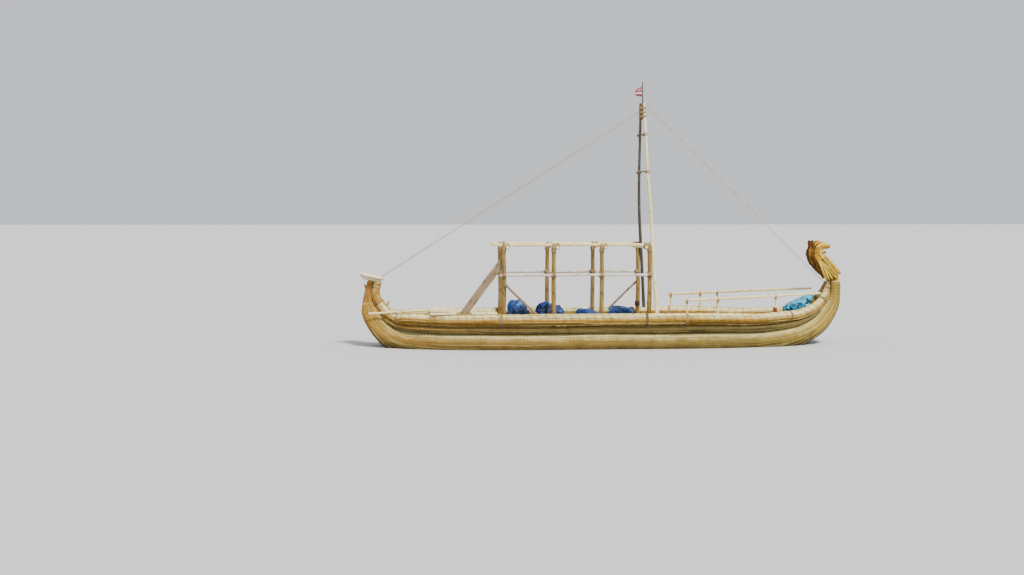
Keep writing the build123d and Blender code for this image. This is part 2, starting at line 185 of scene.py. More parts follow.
def rounded_section(turn, half_width, half_height, corner):
    """Point and outward direction on a rounded box, from its bottom's middle, outward and round.

    turn runs from 0 to 1. It is 0.25 at the outer side, 0.5 on top and 0.75 at the inner side.
    """
    turn = np.mod(turn, 1.0)
    flat, wall = half_width - corner, half_height - corner
    arc = corner * math.pi / 2
    quarter = np.minimum(np.floor(turn * 4), 3)
    part = (turn * 4 - quarter) * (flat + arc + wall)
    part = np.where(quarter % 2 == 0, part, flat + arc + wall - part)
    angle = np.clip((part - flat) / corner, 0, math.pi / 2)
    across = np.where(part < flat, part, flat + corner * np.sin(angle))
    down = np.where(part > flat + arc, wall - (part - flat - arc), wall + corner * np.cos(angle))
    sign_across = np.where(quarter < 2, 1.0, -1.0)
    sign_up = np.where((quarter == 1) | (quarter == 2), 1.0, -1.0)
    return (
        sign_across * across,
        sign_up * down,
        sign_across * np.sin(angle),
        sign_up * np.cos(angle),
    )


def lumps(seed, count=5, longest=1.6):
    """Gentle uneven swell of a bound bundle, from -1 to 1, over its run and turn."""
    rng = random.Random(seed)
    waves = [
        (rng.uniform(2, 9) / longest, rng.randint(0, 3), rng.uniform(0, 2 * math.pi))
        for _ in range(count)
    ]

    def swell(run, turn):
        total = sum(np.sin(run * f + 2 * math.pi * m * turn + p) for f, m, p in waves)
        return total / count

    return swell


class Bundle:
    """Bundle of reeds along a line.

    Its rows are x, z, y of the section's centre, half width, half height and corner radius.
    side is 1 to port and -1 to starboard. Its sections stand upright across the boat, or, for
    one that follows, square to the way the line runs in plan too.
    """

    def __init__(
        self, rows, side=1, seed=0, swell=0.0, pitch=0.0, pinch=0.0, ends=(0.0, 0.0), follows=False
    ):
        self.line = Run(rows, 3 if follows else 2)
        self.length = self.line.length
        self.follows = follows
        self.side = side
        self.swell = swell
        self.swelling = lumps(seed)
        self.pitch, self.pinch = pitch, pinch
        self.ends = ends

    def skin(self, run, turn, lift=0.0):
        """Points on the skin, lifted off it along its normal."""
        run, turn, lift = np.broadcast_arrays(
            np.asarray(run, float), np.asarray(turn, float), np.asarray(lift, float)
        )
        flat_run = np.clip(run.ravel(), 0, self.length)
        rows = self.line.at(flat_run)
        ahead = self.line.at(np.minimum(flat_run + WAY_REACH, self.length))
        behind = self.line.at(np.maximum(flat_run - WAY_REACH, 0))
        way = (ahead - behind)[:, [0, 2, 1]]
        way[:, 1] *= self.side if self.follows else 0
        way /= np.linalg.norm(way, axis=1)[:, None]
        outward = np.array([0.0, self.side, 0.0]) - way * way[:, 1:2] * self.side
        outward /= np.linalg.norm(outward, axis=1)[:, None]
        upward = self.side * np.cross(way, outward)
        x, z, y, half_width, half_height, corner = rows.T
        centre = np.stack([x, y * self.side, z], axis=1)
        shrink = self.end_share(flat_run)
        across, up, out_across, out_up = rounded_section(
            turn.ravel(), half_width * shrink, half_height * shrink, corner * shrink
        )
        relief = self.swell * self.swelling(flat_run, turn.ravel()) * corner / FULL_CORNER
        if self.pitch:
            phase = np.mod(flat_run / self.pitch + turn.ravel(), 1.0)
            off = np.minimum(phase, 1 - phase) * self.pitch
            relief = relief - self.pinch * np.exp(-((off / (PINCH_SHARE * self.pitch)) ** 2))
        out = (lift.ravel() + relief) * np.minimum(shrink * 2, 1)
        across = (across + out_across * out)[:, None]
        up = (up + out_up * out)[:, None]
        return (centre + outward * across + upward * up).reshape(run.shape + (3,))

    def end_share(self, run):
        """1 along the bundle, falling to almost 0 where an end is rounded."""
        share = np.ones_like(run)
        for reach, off in ((self.ends[0], run), (self.ends[1], self.length - run)):
            if reach:
                inside = np.clip(1 - off / reach, 0, 0.999)
                share = share * np.sqrt(1 - inside**2)
        return share


def smoothed(rows, spans):
    """Rows with one more, halfway on a smooth line, in each of the given spans."""
    made = []
    for index, row in enumerate(rows):
        made.append(row)
        if index in spans:
            near = zip(*rows[index - 1 : index + 3])
            made.append(tuple((9 * (b + c) - a - d) / 16 for a, b, c, d in near))
    return made


def resting(y, radius, support):
    """Height at which a round section at y lies on another, given as (y, height, radius)."""
    reach = radius + support[2] + SEAT_GAP
    return support[1] + math.sqrt(reach**2 - (y - support[0]) ** 2)


def seats(station):
    """Corner radius of the main section, and where the side and gunwale bundles lie on it."""
    _, _, height, width, side_radius, gunwale_radius = station
    corner = CORNER_SHARE * min(width, height) / 2
    outer = width + LASH_GAP
    main_corner = (outer - corner, height / 2 - corner, corner)
    gunwale_y = max(outer - gunwale_radius, gunwale_radius + LASH_GAP)
    gunwale_n = resting(gunwale_y, gunwale_radius, main_corner)
    side = None
    if side_radius > 0:
        side_y = outer - side_radius - SIDE_INSET_SHARE * width
        side = (side_y, resting(side_y, side_radius, main_corner))
        gunwale_n = max(gunwale_n, resting(gunwale_y, gunwale_radius, (*side, side_radius)))
    return corner, side, (gunwale_y, gunwale_n)


def hull_layout():
    """Rows of the main, side and gunwale bundles, each bundle lying on the one below it."""
    stations = smoothed(HULL_STATIONS, CURVED_SPANS)
    rows = {"main": [], "side": [], "gunwale": []}
    for x, z, y, radius in GUNWALE_STERN:
        rows["gunwale"].append((x, z, y, radius, radius, radius))
    for index, station in enumerate(stations):
        x, z, height, width, side_radius, gunwale_radius = station
        before, after = stations[max(index - 1, 0)], stations[min(index + 1, len(stations) - 1)]
        run = Vector((after[0] - before[0], after[1] - before[1])).normalized()
        corner, side, gunwale = seats(station)
        rows["main"].append((x, z, LASH_GAP + width / 2, width / 2, height / 2, corner))
        if side_radius >= SIDE_LEAST_RADIUS:
            place = (x - run.y * side[1], z + run.x * side[1], side[0])
            rows["side"].append((*place, side_radius, side_radius, side_radius))
        if SEATED_XS[0] <= x <= SEATED_XS[1]:
            place = (x - run.y * gunwale[1], z + run.x * gunwale[1], gunwale[0])
            rows["gunwale"].append((*place, gunwale_radius, gunwale_radius, gunwale_radius))
    for x, z, y, radius in GUNWALE_BOW:
        rows["gunwale"].append((x, z, y, radius, radius, radius))
    # The main bundles stop at the cut under the stern neck.
    first, second = np.array(rows["main"][:2])
    share = (first[1] - STERN_CUT_Z) / (first[1] - second[1])
    rows["main"][0] = tuple(first + share * (second - first))
    return rows


# Shader building


def srgb(code):
    """Blender's linear colour of a #rrggbb code."""
    parts = [int(code[i : i + 2], 16) / 255 for i in (1, 3, 5)]
    return tuple(c / 12.92 if c <= 0.04045 else ((c + 0.055) / 1.055) ** 2.4 for c in parts) + (1.0,)


def put(tree, kind, sockets=None, **settings):
    """New shader node, with its properties set and its sockets given a value or a link."""
    made = tree.nodes.new("ShaderNode" + kind)
    for key, value in settings.items():
        setattr(made, key, value)
    for key, value in (sockets or {}).items():
        if isinstance(value, bpy.types.NodeSocket):
            tree.links.new(value, made.inputs[key])
        else:
            made.inputs[key].default_value = value
    return made


def calc(tree, operation, *values):
    """Result of a Math node."""
    return put(tree, "Math", dict(enumerate(values)), operation=operation).outputs[0]


def mixed(tree, share, low, high, blend="MIX"):
    """Colour between low and high."""
    made = put(tree, "Mix", {0: share, 6: low, 7: high}, data_type="RGBA", blend_type=blend)
    return made.outputs[2]


def spread(tree, value, from_low, from_high, to_low=0.0, to_high=1.0):
    """Value moved from one range to another and held inside it."""
    return put(tree, "MapRange", {0: value, 1: from_low, 2: from_high, 3: to_low, 4: to_high}).outputs[0]


def stretched(tree, place, along, across):
    """A place scaled along and across the run of a skin."""
    made = put(tree, "VectorMath", {0: place, 1: (along, across, 1.0)}, operation="MULTIPLY")
    return made.outputs[0]


def group(name, inputs, outputs):
    """Empty shader group with named sockets: its tree, its input sockets and its output node."""
    tree = bpy.data.node_groups.new(name, "ShaderNodeTree")
    for label, kind in inputs:
        tree.interface.new_socket(label, in_out="INPUT", socket_type="NodeSocket" + kind)
    for label, kind in outputs:
        tree.interface.new_socket(label, in_out="OUTPUT", socket_type="NodeSocket" + kind)
    return tree, tree.nodes.new("NodeGroupInput").outputs, tree.nodes.new("NodeGroupOutput")


def use(tree, shader_group, sockets):
    """A group placed in a material, with its sockets filled."""
    made = put(tree, "Group")
    made.node_tree = shader_group
    for key, value in sockets.items():
        if isinstance(value, bpy.types.NodeSocket):
            tree.links.new(value, made.inputs[key])
        else:
            made.inputs[key].default_value = value
    return made.outputs


def build_reed_cells():
    """Long thin cells side by side: one reed each, with its own tone and a rounded back."""
    tree, given, out = group(
        "Laid reeds",
        [("Place", "Vector"), ("Reed width", "Float"), ("Reed length", "Float")],
        [("Tone", "Float"), ("Height", "Float"), ("Gap", "Float"), ("Fibre", "Float")],
    )
    place = put(tree, "SeparateXYZ", {0: given["Place"]}).outputs
    wander = put(tree, "TexNoise", {"Vector": given["Place"], "Scale": 3.0, "Detail": 1.0}).outputs[0]
    across = calc(tree, "ADD", place[1], calc(tree, "MULTIPLY", calc(tree, "SUBTRACT", wander, 0.5), 0.05))
    cell = put(
        tree,
        "CombineXYZ",
        {
            0: calc(tree, "DIVIDE", place[0], given["Reed length"]),
            1: calc(tree, "DIVIDE", across, given["Reed width"]),
        },
    ).outputs[0]
    near = put(tree, "TexVoronoi", {"Vector": cell, "Scale": 1.0}, voronoi_dimensions="2D").outputs
    tone = put(tree, "SeparateColor", {0: near["Color"]}).outputs[0]
    edge = put(
        tree, "TexVoronoi", {"Vector": cell, "Scale": 1.0},
        voronoi_dimensions="2D", feature="DISTANCE_TO_EDGE",
    ).outputs["Distance"]
    # Gap marks the seams between reeds, where the skins paint their shade.
    gap = spread(tree, edge, 0.0, 0.12, 1.0, 0.0)
    height = calc(tree, "SQRT", spread(tree, edge, 0.0, 0.5))
    streak = stretched(tree, given["Place"], 6.0, 420.0)
    fibre = put(tree, "TexNoise", {"Vector": streak, "Scale": 1.0, "Detail": 3.0}).outputs[0]
    for label, value in (("Tone", tone), ("Height", height), ("Gap", gap), ("Fibre", fibre)):
        tree.links.new(value, out.inputs[label])
    return tree


def build_weather_and_painted_light():
    """Damp foot above the water, painted highlight on the top, painted shade on the underside, blotches and a
    tone towards the stern, each as a mask.
    """
    tree, given, out = group(
        "Weather and painted light",
        [("Place", "Vector"), ("Damp height", "Float"), ("Painted highlight from", "Float")],
        [("Damp", "Float"), ("Painted highlight", "Float"), ("Painted shade", "Float"), ("Blotch", "Float"), ("Aft", "Float")],
    )
    place = put(tree, "SeparateXYZ", {0: given["Place"]}).outputs
    ripple = put(tree, "TexNoise", {"Vector": given["Place"], "Scale": 5.0, "Detail": 4.0}).outputs[0]
    rough = calc(tree, "MULTIPLY_ADD", calc(tree, "SUBTRACT", ripple, 0.5), 0.12, place[2])
    damp = spread(tree, rough, WATER_Z, given["Damp height"], 1.0, 0.0)
    facing = put(tree, "SeparateXYZ", {0: put(tree, "NewGeometry").outputs["Normal"]}).outputs[2]
    # Faces that look up get the painted highlight, and faces that look down get the painted shade.
    uneven = calc(tree, "MULTIPLY_ADD", calc(tree, "SUBTRACT", ripple, 0.5), 0.6, facing)
    full = calc(tree, "ADD", given["Painted highlight from"], 0.5)
    painted_highlight = spread(tree, uneven, given["Painted highlight from"], full)
    under = spread(tree, uneven, 0.05, -0.5)
    blotch = put(tree, "TexNoise", {"Vector": given["Place"], "Scale": 1.7, "Detail": 5.0}).outputs[0]
    blotch = spread(tree, blotch, 0.42, 0.68)
    aft = spread(tree, place[0], 1.5, -3.5)
    masks = (("Damp", damp), ("Painted highlight", painted_highlight), ("Painted shade", under), ("Blotch", blotch), ("Aft", aft))
    for label, value in masks:
        tree.links.new(value, out.inputs[label])
    return tree


# Reeds that are drawn on a bundle's skin
SKIN_REED_WIDTH = 0.011
SKIN_REED_LENGTH = 0.9
SKIN_RELIEF = 0.004
# Tone that the skins take towards the stern
AFT_TONE = "#c08a34"
# Height up to which the skins, and single reeds and cords, are damp
SKIN_DAMP_HEIGHT = 0.36
STRAND_DAMP_HEIGHT = 0.46


class Finishes:
    """The boat's materials, each made once."""

    def __init__(self):
        self.reeds = build_reed_cells()
        self.weather_and_light = build_weather_and_painted_light()
        self.made_all = {}

    def start(self, name, roughness):
        """New material with its shader, ready for a colour and a bump."""
        material = bpy.data.materials.new(name)
        material.use_nodes = True
        tree = material.node_tree
        shader = tree.nodes["Principled BSDF"]
        shader.inputs["Roughness"].default_value = roughness
        shader.inputs["Specular IOR Level"].default_value = 0.3
        return material, tree, shader

    def bump(self, tree, shader, height, distance):
        """Fine relief in metres."""
        made = put(tree, "Bump", {"Height": height, "Distance": distance, "Strength": 1.0})
        tree.links.new(made.outputs[0], shader.inputs["Normal"])

    def skin(
        self, name, pale, deep, shade, highlight_tone, under, highlight_from, damp_height=SKIN_DAMP_HEIGHT
    ):
        """Skin of a bundle: reeds side by side, with painted shade in their gaps and below, a painted
        highlight on top, and darker near the water where damp.
        """
        material, tree, shader = self.start(name, 0.72)
        uv = put(tree, "UVMap", uv_map="Skin").outputs[0]
        place = put(tree, "TexCoord").outputs["Object"]
        reeds = use(
            tree, self.reeds,
            {"Place": uv, "Reed width": SKIN_REED_WIDTH, "Reed length": SKIN_REED_LENGTH},
        )
        weather_and_light = use(
            tree, self.weather_and_light, {"Place": place, "Damp height": damp_height, "Painted highlight from": highlight_from}
        )
        tone = spread(tree, reeds["Tone"], 0.0, 1.0, 0.25, 0.85)
        colour = mixed(tree, tone, srgb(deep), srgb(pale))
        # Layers: tone towards the stern, blotches, painted highlight on upward faces, painted shade on
        # downward faces and in the gaps between reeds, and the damp foot.
        for mask, share, layer in (
            (weather_and_light["Aft"], 0.7, AFT_TONE),
            (weather_and_light["Blotch"], 0.35, deep),
            (weather_and_light["Painted highlight"], 0.85, highlight_tone),
            (weather_and_light["Painted shade"], 0.85, under),
            (reeds["Gap"], 0.65, shade),
            (weather_and_light["Damp"], 0.85, shade),
        ):
            colour = mixed(tree, calc(tree, "MULTIPLY", mask, share), colour, srgb(layer))
        fibre = spread(tree, reeds["Fibre"], 0.3, 0.7, 0.82, 1.12)
        grey = put(tree, "CombineColor", {0: fibre, 1: fibre, 2: fibre}).outputs[0]
        colour = mixed(tree, 1.0, colour, grey, "MULTIPLY")
        tree.links.new(colour, shader.inputs["Base Color"])
        height = calc(tree, "MULTIPLY_ADD", reeds["Fibre"], 0.15, reeds["Height"])
        self.bump(tree, shader, height, SKIN_RELIEF)
        return material

    def strand(self, name, pale, deep, shade, roughness=0.65):
        """Single reeds or cords, each with a tone of its own."""
        material, tree, shader = self.start(name, roughness)
        lot = put(tree, "NewGeometry").outputs["Random Per Island"]
        place = put(tree, "TexCoord").outputs["Object"]
        patch = put(tree, "TexNoise", {"Vector": place, "Scale": 9.0, "Detail": 4.0}).outputs[0]
        weather_and_light = use(
            tree, self.weather_and_light,
            {"Place": place, "Damp height": STRAND_DAMP_HEIGHT, "Painted highlight from": 0.5},
        )
        colour = mixed(tree, lot, srgb(deep), srgb(pale))
        colour = mixed(tree, spread(tree, patch, 0.45, 0.75, 0.0, 0.55), colour, srgb(shade))
        # Darker where damp near the water, and painted shade where a strand faces down.
        damp_or_painted_light = calc(tree, "MAXIMUM", weather_and_light["Damp"], calc(tree, "MULTIPLY", weather_and_light["Painted shade"], 0.6))
        colour = mixed(tree, calc(tree, "MULTIPLY", damp_or_painted_light, 0.8), colour, srgb(shade))
        tree.links.new(colour, shader.inputs["Base Color"])
        fine = put(tree, "TexNoise", {"Vector": place, "Scale": 260.0, "Detail": 2.0}).outputs[0]
        self.bump(tree, shader, fine, 0.001)
        return material

    def timber(self, name, pale, deep, shade, grain=70.0):
        """Pole or board: grain along the piece, darker streaks and a few knots."""
        material, tree, shader = self.start(name, 0.6)
        uv = put(tree, "UVMap", uv_map="Skin").outputs[0]
        place = put(tree, "TexCoord").outputs["Object"]
        streak = stretched(tree, uv, 2.2, grain)
        lines = put(
            tree, "TexNoise", {"Vector": streak, "Scale": 1.0, "Detail": 5.0, "Distortion": 0.3}
        ).outputs[0]
        patch = put(tree, "TexNoise", {"Vector": place, "Scale": 2.6, "Detail": 4.0}).outputs[0]
        knot_place = stretched(tree, uv, 3.2, 9.0)
        knots = put(
            tree, "TexVoronoi", {"Vector": knot_place, "Scale": 1.0}, voronoi_dimensions="2D"
        ).outputs["Distance"]
        colour = mixed(tree, spread(tree, lines, 0.3, 0.7), srgb(deep), srgb(pale))
        colour = mixed(tree, spread(tree, patch, 0.4, 0.75, 0.0, 0.7), colour, srgb(deep))
        colour = mixed(tree, spread(tree, knots, 0.05, 0.16, 0.75, 0.0), colour, srgb(shade))
        tree.links.new(colour, shader.inputs["Base Color"])
        self.bump(tree, shader, lines, 0.003)
        return material

    def cloth(self, name, main, light, dark, strips=(), creased=0.009, patches=(3.5, 0.5)):
        """Woven sheet: folds with a painted highlight, dark patches and a fine weave.

        strips are (middle, half width, colour), creased is the relief of its folds in metres, and
        patches are the scale of its dark patches and the noise value from which they show.
        """
        material, tree, shader = self.start(name, 0.45)
        uv = put(tree, "UVMap", uv_map="Skin").outputs[0]
        place = put(tree, "TexCoord").outputs["Object"]
        damp_or_painted_light = put(
            tree, "TexNoise", {"Vector": uv, "Scale": 6.0, "Detail": 6.0, "Distortion": 0.8}
        ).outputs[0]
        dark_patch_noise = put(tree, "TexNoise", {"Vector": place, "Scale": patches[0], "Detail": 5.0}).outputs[0]
        # The folds get a painted highlight in the light colour.
        colour = mixed(tree, spread(tree, damp_or_painted_light, 0.53, 0.68), srgb(main), srgb(light))
        height = put(tree, "SeparateXYZ", {0: uv}).outputs[1]
        for middle, half_width, strip in strips:
            inside = calc(tree, "COMPARE", height, middle, half_width)
            colour = mixed(tree, inside, colour, srgb(strip))
        # Patches of noise darken the cloth towards its dark colour.
        dark_share = spread(tree, dark_patch_noise, patches[1], patches[1] + 0.12, 0.0, 0.85)
        colour = mixed(tree, dark_share, colour, srgb(dark))
        tree.links.new(colour, shader.inputs["Base Color"])
        weave = put(tree, "TexChecker", {"Vector": uv, "Scale": 500.0}).outputs["Fac"]
        self.bump(tree, shader, calc(tree, "MULTIPLY_ADD", weave, 0.05, damp_or_painted_light), creased)
        return material

    def plain(self, name, colour, roughness):
        """One colour all over."""
        material, _, shader = self.start(name, roughness)
        shader.inputs["Base Color"].default_value = colour
        return material


finishes = Finishes()


def make_finishes():
    """All materials of the boat."""
    made = {
        # pale, deep, shade (in the gaps and where damp), painted highlight on top, painted shade underneath,
        # how far up a face looks where the painted highlight starts, damp height
        "main": finishes.skin(
            "Main bundle reed", "#c2a542", "#92741e", "#2c210a", "#f4eba4", "#5c4a14", 0.38, 0.48
        ),
        "gunwale": finishes.skin(
            "Gunwale bundle reed", "#cfa038", "#9c741a", "#38260a", "#fcf6bc", "#74520e", 0.10
        ),
        # The side bundle is the same reed as the others, painted darker as the shade under the overhanging
        # gunwale.
        "side": finishes.skin(
            "Side bundle reed", "#8a7a42", "#66562a", "#2e250f", "#a09056", "#483a16", 0.55
        ),
        "neck": finishes.skin(
            "Stern neck reed", "#c6963c", "#946422", "#4c300e", "#dcb86c", "#7c5014", 0.45
        ),
        "head": finishes.skin(
            "Head reed", "#dea624", "#94640e", "#331f06", "#fff09a", "#6a4208", 0.2, 0.21
        ),
        "reed": finishes.strand("Loose reed", "#dccb84", "#ac8e3c", "#66501a"),
        # Its loose reeds are painted darker for the same shade.
        "side_reed": finishes.strand("Side bundle loose reed", "#9a8a52", "#66562c", "#382c12"),
        "neck_reed": finishes.strand("Stern neck loose reed", "#cca050", "#8e6424", "#543610"),
        "deck_reed": finishes.strand("Deck reed", "#f6e2a0", "#cb9f48", "#86642c"),
        "cap_reed": finishes.strand("Cap reed", "#fffce6", "#eeddaa", "#b79a58"),
        "head_reed": finishes.strand("Golden head reed", "#ffca34", "#c08410", "#5a3706"),
        "dark_reed": finishes.strand("Dark head reed", "#8e561c", "#4e2e0c", "#241506"),
        "beard_reed": finishes.strand("Bright beard reed", "#ffe463", "#ac7c0c", "#60400a"),
        "cord": finishes.strand("Reed cord", "#b0874a", "#74521f", "#3c270c"),
        "stay": finishes.strand("Stay rope", "#cfba8c", "#8a7248", "#5a482a", 0.85),
        "rope": finishes.strand("Lashing rope", "#c4a878", "#86693f", "#453420", 0.85),
        "dark_rope": finishes.strand("Dark lashing rope", "#5b4a38", "#33281d", "#191310", 0.85),
        "red_rope": finishes.strand("Red-brown lashing", "#a84e30", "#742d1d", "#431a12", 0.85),
        "post": finishes.timber("Post timber", "#aa8c4e", "#6e572a", "#382810"),
        "pale_pole": finishes.timber("Peeled pole timber", "#fff6d0", "#e2c880", "#8f6f34"),
        "grey_pole": finishes.timber("Weathered pole timber", "#efe8e0", "#bcaea4", "#6b5e54"),
        "dark_pole": finishes.timber("Dark pole timber", "#6e6459", "#3c352f", "#1f1b18"),
        "plank": finishes.timber("Weathered plank timber", "#b09a7e", "#75614a", "#3f3226", grain=40.0),
        "board": finishes.timber("Pale board timber", "#fdf2cf", "#dac48c", "#94794a", grain=30.0),
        "cover": finishes.cloth("Blue cover cloth", "#08316e", "#3c98e0", "#04122e"),
        "striped_cover": finishes.cloth(
            "Blue cover cloth with a pale strip", "#0b3c7c", "#489cdc", "#06173a",
            strips=[(0.12, 0.09, "#f6f8f4")],
        ),
        "bow_cover": finishes.cloth(
            "Bow cover cloth", "#1eb2de", "#b8f4ff", "#061a46", patches=(13.0, 0.44)
        ),
        "flag": finishes.cloth(
            "Flag cloth", "#861430", "#b24058", "#4a0c1c",
            strips=[(0.05, 0.022, "#f0a0b0"), (-0.02, 0.02, "#faf2ec")], creased=0.001,
        ),
        "floor": finishes.plain("Stage floor", (0.54, 0.56, 0.58, 1.0), 0.9),
    }
    return made


# Mesh building


def to_object(bm, name):
    """The bmesh as a new smooth object in the scene."""
    mesh = bpy.data.meshes.new(name)
    bm.to_mesh(mesh)
    bm.free()
    mesh.shade_smooth()
    made = bpy.data.objects.new(name, mesh)
    bpy.context.scene.collection.objects.link(made)
    return made


def finish_piece(made, material, replaces=()):
    """Gives a piece its material and slot, and lets it ride with the boat and stand for CAD nodes."""
    made.data.materials.clear()
    made.data.materials.append(material)
    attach(made, "root")
    if replaces:
        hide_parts(*replaces)


def rolled(name, rings):
    """Grid rolled into a tube over rings of points, with a map of its skin in metres.

    rings is an array: along, around, xyz.
    """
    along, around = rings.shape[:2]
    bm = bmesh.new()
    bm.loops.layers.uv.new("Skin")
    bmesh.ops.create_grid(bm, x_segments=along - 1, y_segments=around, size=1.0, calc_uvs=True)
    made = to_object(bm, name)
    mesh = made.data
    grid = np.empty(len(mesh.vertices) * 3)
    mesh.vertices.foreach_get("co", grid)
    grid = grid.reshape(-1, 3)
    i = np.rint((grid[:, 0] + 1) / 2 * (along - 1)).astype(int)
    j = np.rint((grid[:, 1] + 1) / 2 * around).astype(int)
    wrapped = np.concatenate([rings, rings[:, :1]], axis=1)
    mesh.vertices.foreach_set("co", wrapped[i, j].ravel())
    steps_along = np.linalg.norm(np.diff(wrapped, axis=0), axis=2).mean(axis=1)
    steps_around = np.linalg.norm(np.diff(wrapped, axis=1), axis=2).mean(axis=0)
    place_along = np.concatenate([[0], np.cumsum(steps_along)])
    place_around = np.concatenate([[0], np.cumsum(steps_around)])
    corners = np.empty(len(mesh.loops), int)
    mesh.loops.foreach_get("vertex_index", corners)
    skin = np.stack([place_along[i[corners]], place_around[j[corners]]], axis=1)
    mesh.uv_layers["Skin"].data.foreach_set("uv", skin.ravel())
    bm = bmesh.new()
    bm.from_mesh(mesh)
    seam = [v for v in bm.verts if v.is_boundary]
    bmesh.ops.remove_doubles(bm, verts=seam, dist=1e-5)
    rim = [e for e in bm.edges if e.is_boundary]
    bmesh.ops.holes_fill(bm, edges=rim, sides=0)
    bmesh.ops.recalc_face_normals(bm, faces=bm.faces)
    bm.to_mesh(mesh)
    bm.free()
    mesh.shade_smooth()
    return made


def tube_rings(points, radii, around):
    """Rings round a line of points, carried along it without a twist."""
    points = np.asarray(points, float)
    radii = np.broadcast_to(np.asarray(radii, float), len(points))
    ways = np.gradient(points, axis=0)
    ways /= np.linalg.norm(ways, axis=1)[:, None]
    first = np.cross(ways[0], (0, 0, 1)) if abs(ways[0][2]) < 0.9 else np.cross(ways[0], (0, 1, 0))
    first /= np.linalg.norm(first)
    angles = np.arange(around) * 2 * math.pi / around
    rings = []
    for point, way, radius in zip(points, ways, radii):
        first = first - way * first.dot(way)
        first /= np.linalg.norm(first)
        second = np.cross(way, first)
        rings.append(point + radius * (np.cos(angles)[:, None] * first + np.sin(angles)[:, None] * second))
    return np.array(rings)


def strands(name, lines, sides=0):
    """One mesh of many round strands. Each line is its points and its radius or radii."""
    curve = bpy.data.curves.new(name, "CURVE")
    curve.dimensions = "3D"
    curve.bevel_depth = 1.0
    curve.bevel_resolution = sides
    curve.use_fill_caps = True
    for points, radius in lines:
        points = np.asarray(points, float)
        spline = curve.splines.new("POLY")
        spline.points.add(len(points) - 1)
        spline.points.foreach_set("co", np.c_[points, np.ones(len(points))].ravel())
        spline.points.foreach_set("radius", np.broadcast_to(radius, len(points)).astype(float).copy())
    holder = bpy.data.objects.new(name + "_line", curve)
    bpy.context.scene.collection.objects.link(holder)
    graph = bpy.context.evaluated_depsgraph_get()
    mesh = bpy.data.meshes.new_from_object(holder.evaluated_get(graph))
    bpy.data.objects.remove(holder)
    bpy.data.curves.remove(curve)
    mesh.name = name
    mesh.shade_smooth()
    made = bpy.data.objects.new(name, mesh)
    bpy.context.scene.collection.objects.link(made)
    return made


def bundle_mesh(name, bundle, along, around):
    """Skin of a whole bundle."""
    run = np.linspace(0.0, bundle.length, along)[:, None]
    turn = np.arange(around)[None, :] / around
    return rolled(name, bundle.skin(run, turn))


def winding(bundle, start, end, radius, steps):
    """Cord wound round a bundle where its skin is pinched, with the given points to a turn."""
    turns = (end - start) / bundle.pitch
    run = np.linspace(start, end, int(turns * steps))
    return bundle.skin(run, -run / bundle.pitch, radius * CORD_LIFT), radius


def band(bundle, run, turns, radius, steps):
    """Tight turns of rope side by side round a bundle, with the given points to a turn."""
    count = np.linspace(0, turns, int(turns * steps) + 1)
    place = run + (count - turns / 2) * radius * TURN_STEP
    return bundle.skin(place, count, radius * ROPE_LIFT), radius


def laid_reeds(bundle, rng, count, turns, lengths, radii, span=None, loose=0.3, step=0.1):
    """Single reeds that stand a little proud of a bundle's skin and run along it.

    They lie in the given span of its run, and the share called loose has ends that stand off.
    """
    lines = []
    low, high = span or (0.05, bundle.length - 0.05)
    for _ in range(count):
        length = rng.uniform(*lengths)
        start = rng.uniform(low - 0.3 * length, high - 0.5 * length)
        end = min(start + length, high)
        start = max(start, low)
        points = max(4, int((end - start) / step) + 1)
        run = np.linspace(start, end, points)
        drift = rng.uniform(-0.012, 0.012)
        turn = rng.uniform(*turns) + np.linspace(0, drift, points)
        radius = rng.uniform(*radii)
        lift = np.full(points, radius * 0.5)
        if rng.random() < loose:
            lift[-1] += rng.uniform(0.004, 0.02)
            lift[0] += rng.uniform(0.0, 0.008)
        shape = np.full(points, radius)
        shape[0] *= 0.55
        shape[-1] *= 0.5
        lines.append((bundle.skin(run, turn, lift), shape))
    return lines


# Knots on a pole, and how much its cut ends narrow and bulge
KNOTS_PER_METRE = 3
CUT_END_SHARE = 0.86
CUT_END_BULGE = 0.003


def pole_mesh(name, stations, rng, around, bend, step=0.05):
    """Natural pole through (x, y, z, radius) stations: slightly bent, knotty, with cut ends."""
    run = Run(stations, 3)
    count = max(6, int(run.length / step))
    place = np.linspace(0, run.length, count)
    rows = run.at(place)
    points, radii = rows[:, :3].copy(), rows[:, 3].copy()
    ease = np.sin(np.linspace(0, math.pi, count))
    for axis in range(3):
        f, p = rng.uniform(1.5, 4), rng.uniform(0, 6)
        points[:, axis] += bend * ease * np.sin(place * f + p)
    for _ in range(int(KNOTS_PER_METRE * max(run.length, 0.5))):
        at = rng.uniform(0, run.length)
        radii *= 1 + rng.uniform(0.03, 0.1) * np.exp(-(((place - at) / 0.03) ** 2))
    rings = tube_rings(points, radii, around)
    middle = rings[[0, -1]].mean(axis=1, keepdims=True)
    tips = middle + (rings[[0, -1]] - middle) * CUT_END_SHARE
    way = np.array([points[0] - points[1], points[-1] - points[-2]])
    way /= np.linalg.norm(way, axis=1)[:, None]
    tips += way[:, None, :] * CUT_END_BULGE
    return rolled(name, np.concatenate([tips[:1], rings, tips[1:]], axis=0))


def hull_loop(circles, lift):
    """Closed outline round flat discs (centre, half axes) seen in their own plane, pulled tight."""
    outline = []
    for angle in np.linspace(0, 2 * math.pi, 25):
        c, s = math.cos(angle), math.sin(angle)
        best = None
        for (u, v), (a, b) in circles:
            a, b = a + lift, b + lift
            norm = math.hypot(a * c, b * s)
            point = (u + a * a * c / norm, v + b * b * s / norm)
            reach = point[0] * c + point[1] * s
            if best is None or reach > best[0]:
                best = (reach, point)
        outline.append(best[1])
    return outline


